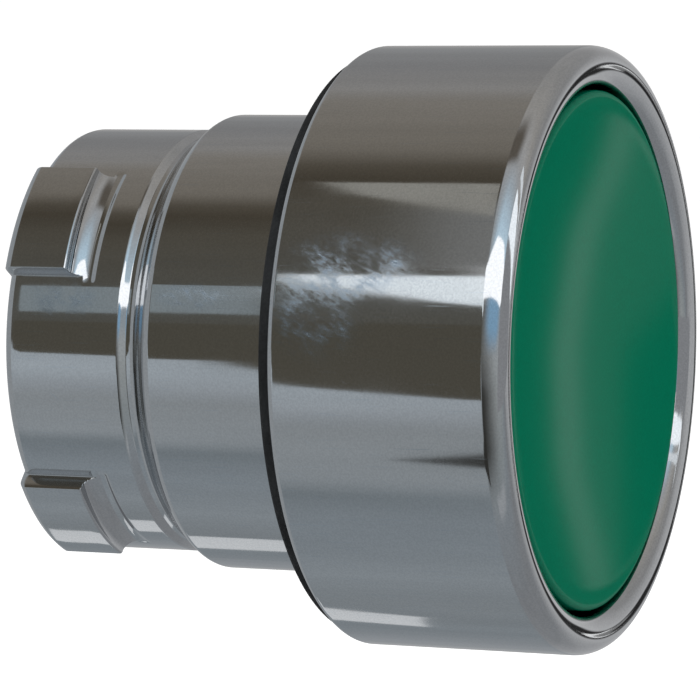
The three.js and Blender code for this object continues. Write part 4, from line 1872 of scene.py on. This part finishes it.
    def cloth(self) -> Material:
        """Makes the tent's cloth.

        Returns:
            The material.
        """
        material, tree = empty_material("tent_cloth")
        place = add_node(tree, "TexCoord")
        parts = add_node(tree, "SeparateXYZ", {0: place.outputs["Object"]})
        left = add_node(tree, "Math", {0: parts.outputs["X"], 1: -1.0}, operation="MULTIPLY")
        sides = {0: parts.outputs["Z"], 1: left.outputs[0]}
        turn = add_node(tree, "Math", sides, operation="ARCTAN2")
        whole = {"Value": turn.outputs[0], "From Min": -math.pi, "From Max": math.pi}
        bearing = add_node(tree, "MapRange", whole).outputs[0]
        reach = {"Value": parts.outputs["Y"]}
        reach["From Min"], reach["From Max"] = (share * self.tent_radius for share in self.blend)
        side = add_node(tree, "MapRange", reach, interpolation_type="SMOOTHSTEP")
        colours = {"Factor": side.outputs[0]}
        colours[MIX_FIRST] = self.banded(tree, bearing, self.front_bands)
        colours[MIX_SECOND] = self.banded(tree, bearing, self.side_bands)
        mix = add_node(tree, "Mix", colours, data_type="RGBA")
        crease = {"Vector": place.outputs["Object"], "Scale": 1 / self.crease_size, "Detail": 3.0}
        creases = add_node(tree, "TexNoise", crease)
        shade = {"Value": creases.outputs[0], "To Min": 1 - self.crease_depth, "To Max": 1 + self.crease_depth}
        level = add_node(tree, "MapRange", shade)
        light = {"Color": mix.outputs[MIX_RESULT], "Strength": level.outputs[0]}
        glow = add_node(tree, "Emission", light)
        add_node(tree, "OutputMaterial", {"Surface": glow.outputs[0]})
        return material

    def tent(self) -> Piece:
        """Sets up the tent all round the head.

        Returns:
            The tent.
        """
        mesh = bmesh.new()
        columns, rows = self.tent_columns, self.tent_rows
        bmesh.ops.create_uvsphere(mesh, u_segments=columns, v_segments=rows, radius=self.tent_radius)
        return self.mirrored_only(self.stage_piece("tent", mesh, self.cloth()))

    def direction(self, angle: float, lean: float) -> Vector:
        """Turns a card's corner into a direction from the head."""
        turn, rise = math.radians(angle), math.radians(lean)
        return Vector((-math.cos(turn) * math.cos(rise), math.sin(rise), math.sin(turn) * math.cos(rise)))

    def gauze(self, sheet: "Card | Pane | Veil") -> Material:
        """Makes what a card, pane or veil is made of, which shows as much as its mesh says.

        Args:
            sheet: the card, pane or veil.

        Returns:
            The material.
        """
        material, tree = empty_material(sheet.name + "_gauze")
        shown = add_node(tree, "Attribute", attribute_name=SHOWN)
        glow = add_node(tree, "Emission", {"Color": linear(sheet.colour), "Strength": sheet.level})
        clear = add_node(tree, "BsdfTransparent")
        soft = {"Value": shown.outputs["Fac"]}
        fade = add_node(tree, "MapRange", soft, interpolation_type="SMOOTHSTEP")
        mix = add_node(tree, "MixShader", {0: fade.outputs[0], 1: clear.outputs[0], 2: glow.outputs[0]})
        add_node(tree, "OutputMaterial", {"Surface": mix.outputs[0]})
        return material

    def card(self, card: Card) -> Piece:
        """Hangs a card inside the tent, faded towards its edges.

        Args:
            card: the card.

        Returns:
            The card's piece.
        """
        mesh = bmesh.new()
        radius = self.tent_radius - card.nearness
        ring = [mesh.verts.new(self.direction(*corner) * radius) for corner in card.corners]
        face = mesh.faces.new(ring)
        bmesh.ops.inset_region(mesh, faces=[face], thickness=card.soft, use_even_offset=True)
        layer = mesh.verts.layers.float.new(SHOWN)
        for vert in mesh.verts:
            vert[layer] = 0.0 if vert in ring else 1.0
        return self.mirrored_only(self.stage_piece(card.name, mesh, self.gauze(card)))

    def pane(self, pane: Pane) -> Piece:
        """Hangs a window pane close to its spot.

        Args:
            pane: the pane.

        Returns:
            The pane's piece.
        """
        mesh = bmesh.new()
        layer = mesh.verts.layers.float.new(SHOWN)
        spot = Vector(pane.spot_mm) * MM
        edges = [
            [mesh.verts.new(spot + self.direction(*corner) * pane.away) for corner in edge]
            for edge in (pane.first, pane.second)
        ]
        for vert in mesh.verts:
            vert[layer] = 1.0
        for i in range(1, len(pane.first)):
            mesh.faces.new((edges[0][i - 1], edges[0][i], edges[1][i], edges[1][i - 1]))
        return self.mirrored_only(self.stage_piece(pane.name, mesh, self.gauze(pane)))

    def veil(self, veil: Veil) -> Piece:
        """Hangs a veil inside the tent.

        Args:
            veil: the veil.

        Returns:
            The veil's piece.
        """
        mesh = bmesh.new()
        layer = mesh.verts.layers.float.new(SHOWN)
        across = math.ceil((veil.turn[1] - veil.turn[0]) / veil.step)
        along = math.ceil((veil.lean[1] - veil.lean[0]) / veil.step)
        lines = []
        for i in range(across + 1):
            turn = between(veil.turn[0], veil.turn[1], i / across)
            line = []
            for j in range(along + 1):
                lean = between(veil.lean[0], veil.lean[1], j / along)
                vert = mesh.verts.new(self.direction(turn, lean) * (self.tent_radius - veil.nearness))
                vert[layer] = veil.shown(turn, lean)
                line.append(vert)
            lines.append(line)
        for near, far in zip(lines, lines[1:]):
            for j in range(along):
                mesh.faces.new((near[j], far[j], far[j + 1], near[j + 1]))
        return self.mirrored_only(self.stage_piece(veil.name, mesh, self.gauze(veil)))

    def lamp(self, lamp: Lamp) -> Piece:
        """Hangs a lamp.

        Args:
            lamp: the lamp.

        Returns:
            The lamp's piece.
        """
        data = bpy.data.lights.new(lamp.name, "AREA")
        data.shape = "RECTANGLE"
        data.size, data.size_y = lamp.size
        data.energy = lamp.watts
        piece = bpy.data.objects.new(lamp.name, data)
        piece.location = lamp.place
        piece.rotation_mode = "QUATERNION"
        piece.rotation_quaternion = (-Vector(lamp.place)).to_track_quat("-Z", "Y")
        piece.visible_glossy = False
        bpy.context.scene.collection.objects.link(piece)
        return piece

    def build(self) -> None:
        """Sets up the whole studio."""
        bpy.context.scene.view_settings.view_transform = "Standard"
        self.camera()
        self.world()
        self.sweep()
        self.tent()
        for card in self.cards:
            self.card(card)
        for pane in self.panes:
            self.pane(pane)
        for veil in self.veils:
            self.veil(veil)
        for lamp in self.lamps:
            self.lamp(lamp)
        sheets = len(self.cards) + len(self.panes) + len(self.veils)
        log.info("studio: camera, floor, tent, %d cards, panes and veils, and %d lamps", sheets, len(self.lamps))


def main() -> None:
    """Builds the studio and the head."""
    logging.basicConfig(level=logging.INFO, format="%(message)s")
    Studio().build()
    Bezel().ring()
    barrel = Barrel()
    barrel.body()
    seals = Seals()
    seals.gasket(barrel.throat_radius)
    seals.round_ring("flange_seal_ring")
    seals.lip_seal()
    seals.retainer()
    guide = Guide()
    guide.bush()
    guide.snap_ring()
    guide.spring_seat()
    ReturnSpring().coil()
    cap = Cap()
    cap.cap()
    cap.carrier()
    seals.round_ring("cap_seal_ring")
    stem = Stem()
    stem.plunger()
    stem.stop_washer()
    stem.clip("retaining_clip")
    stem.pusher_plate()
    stem.clip("plate_clip")


if __name__ == "__main__":
    main()
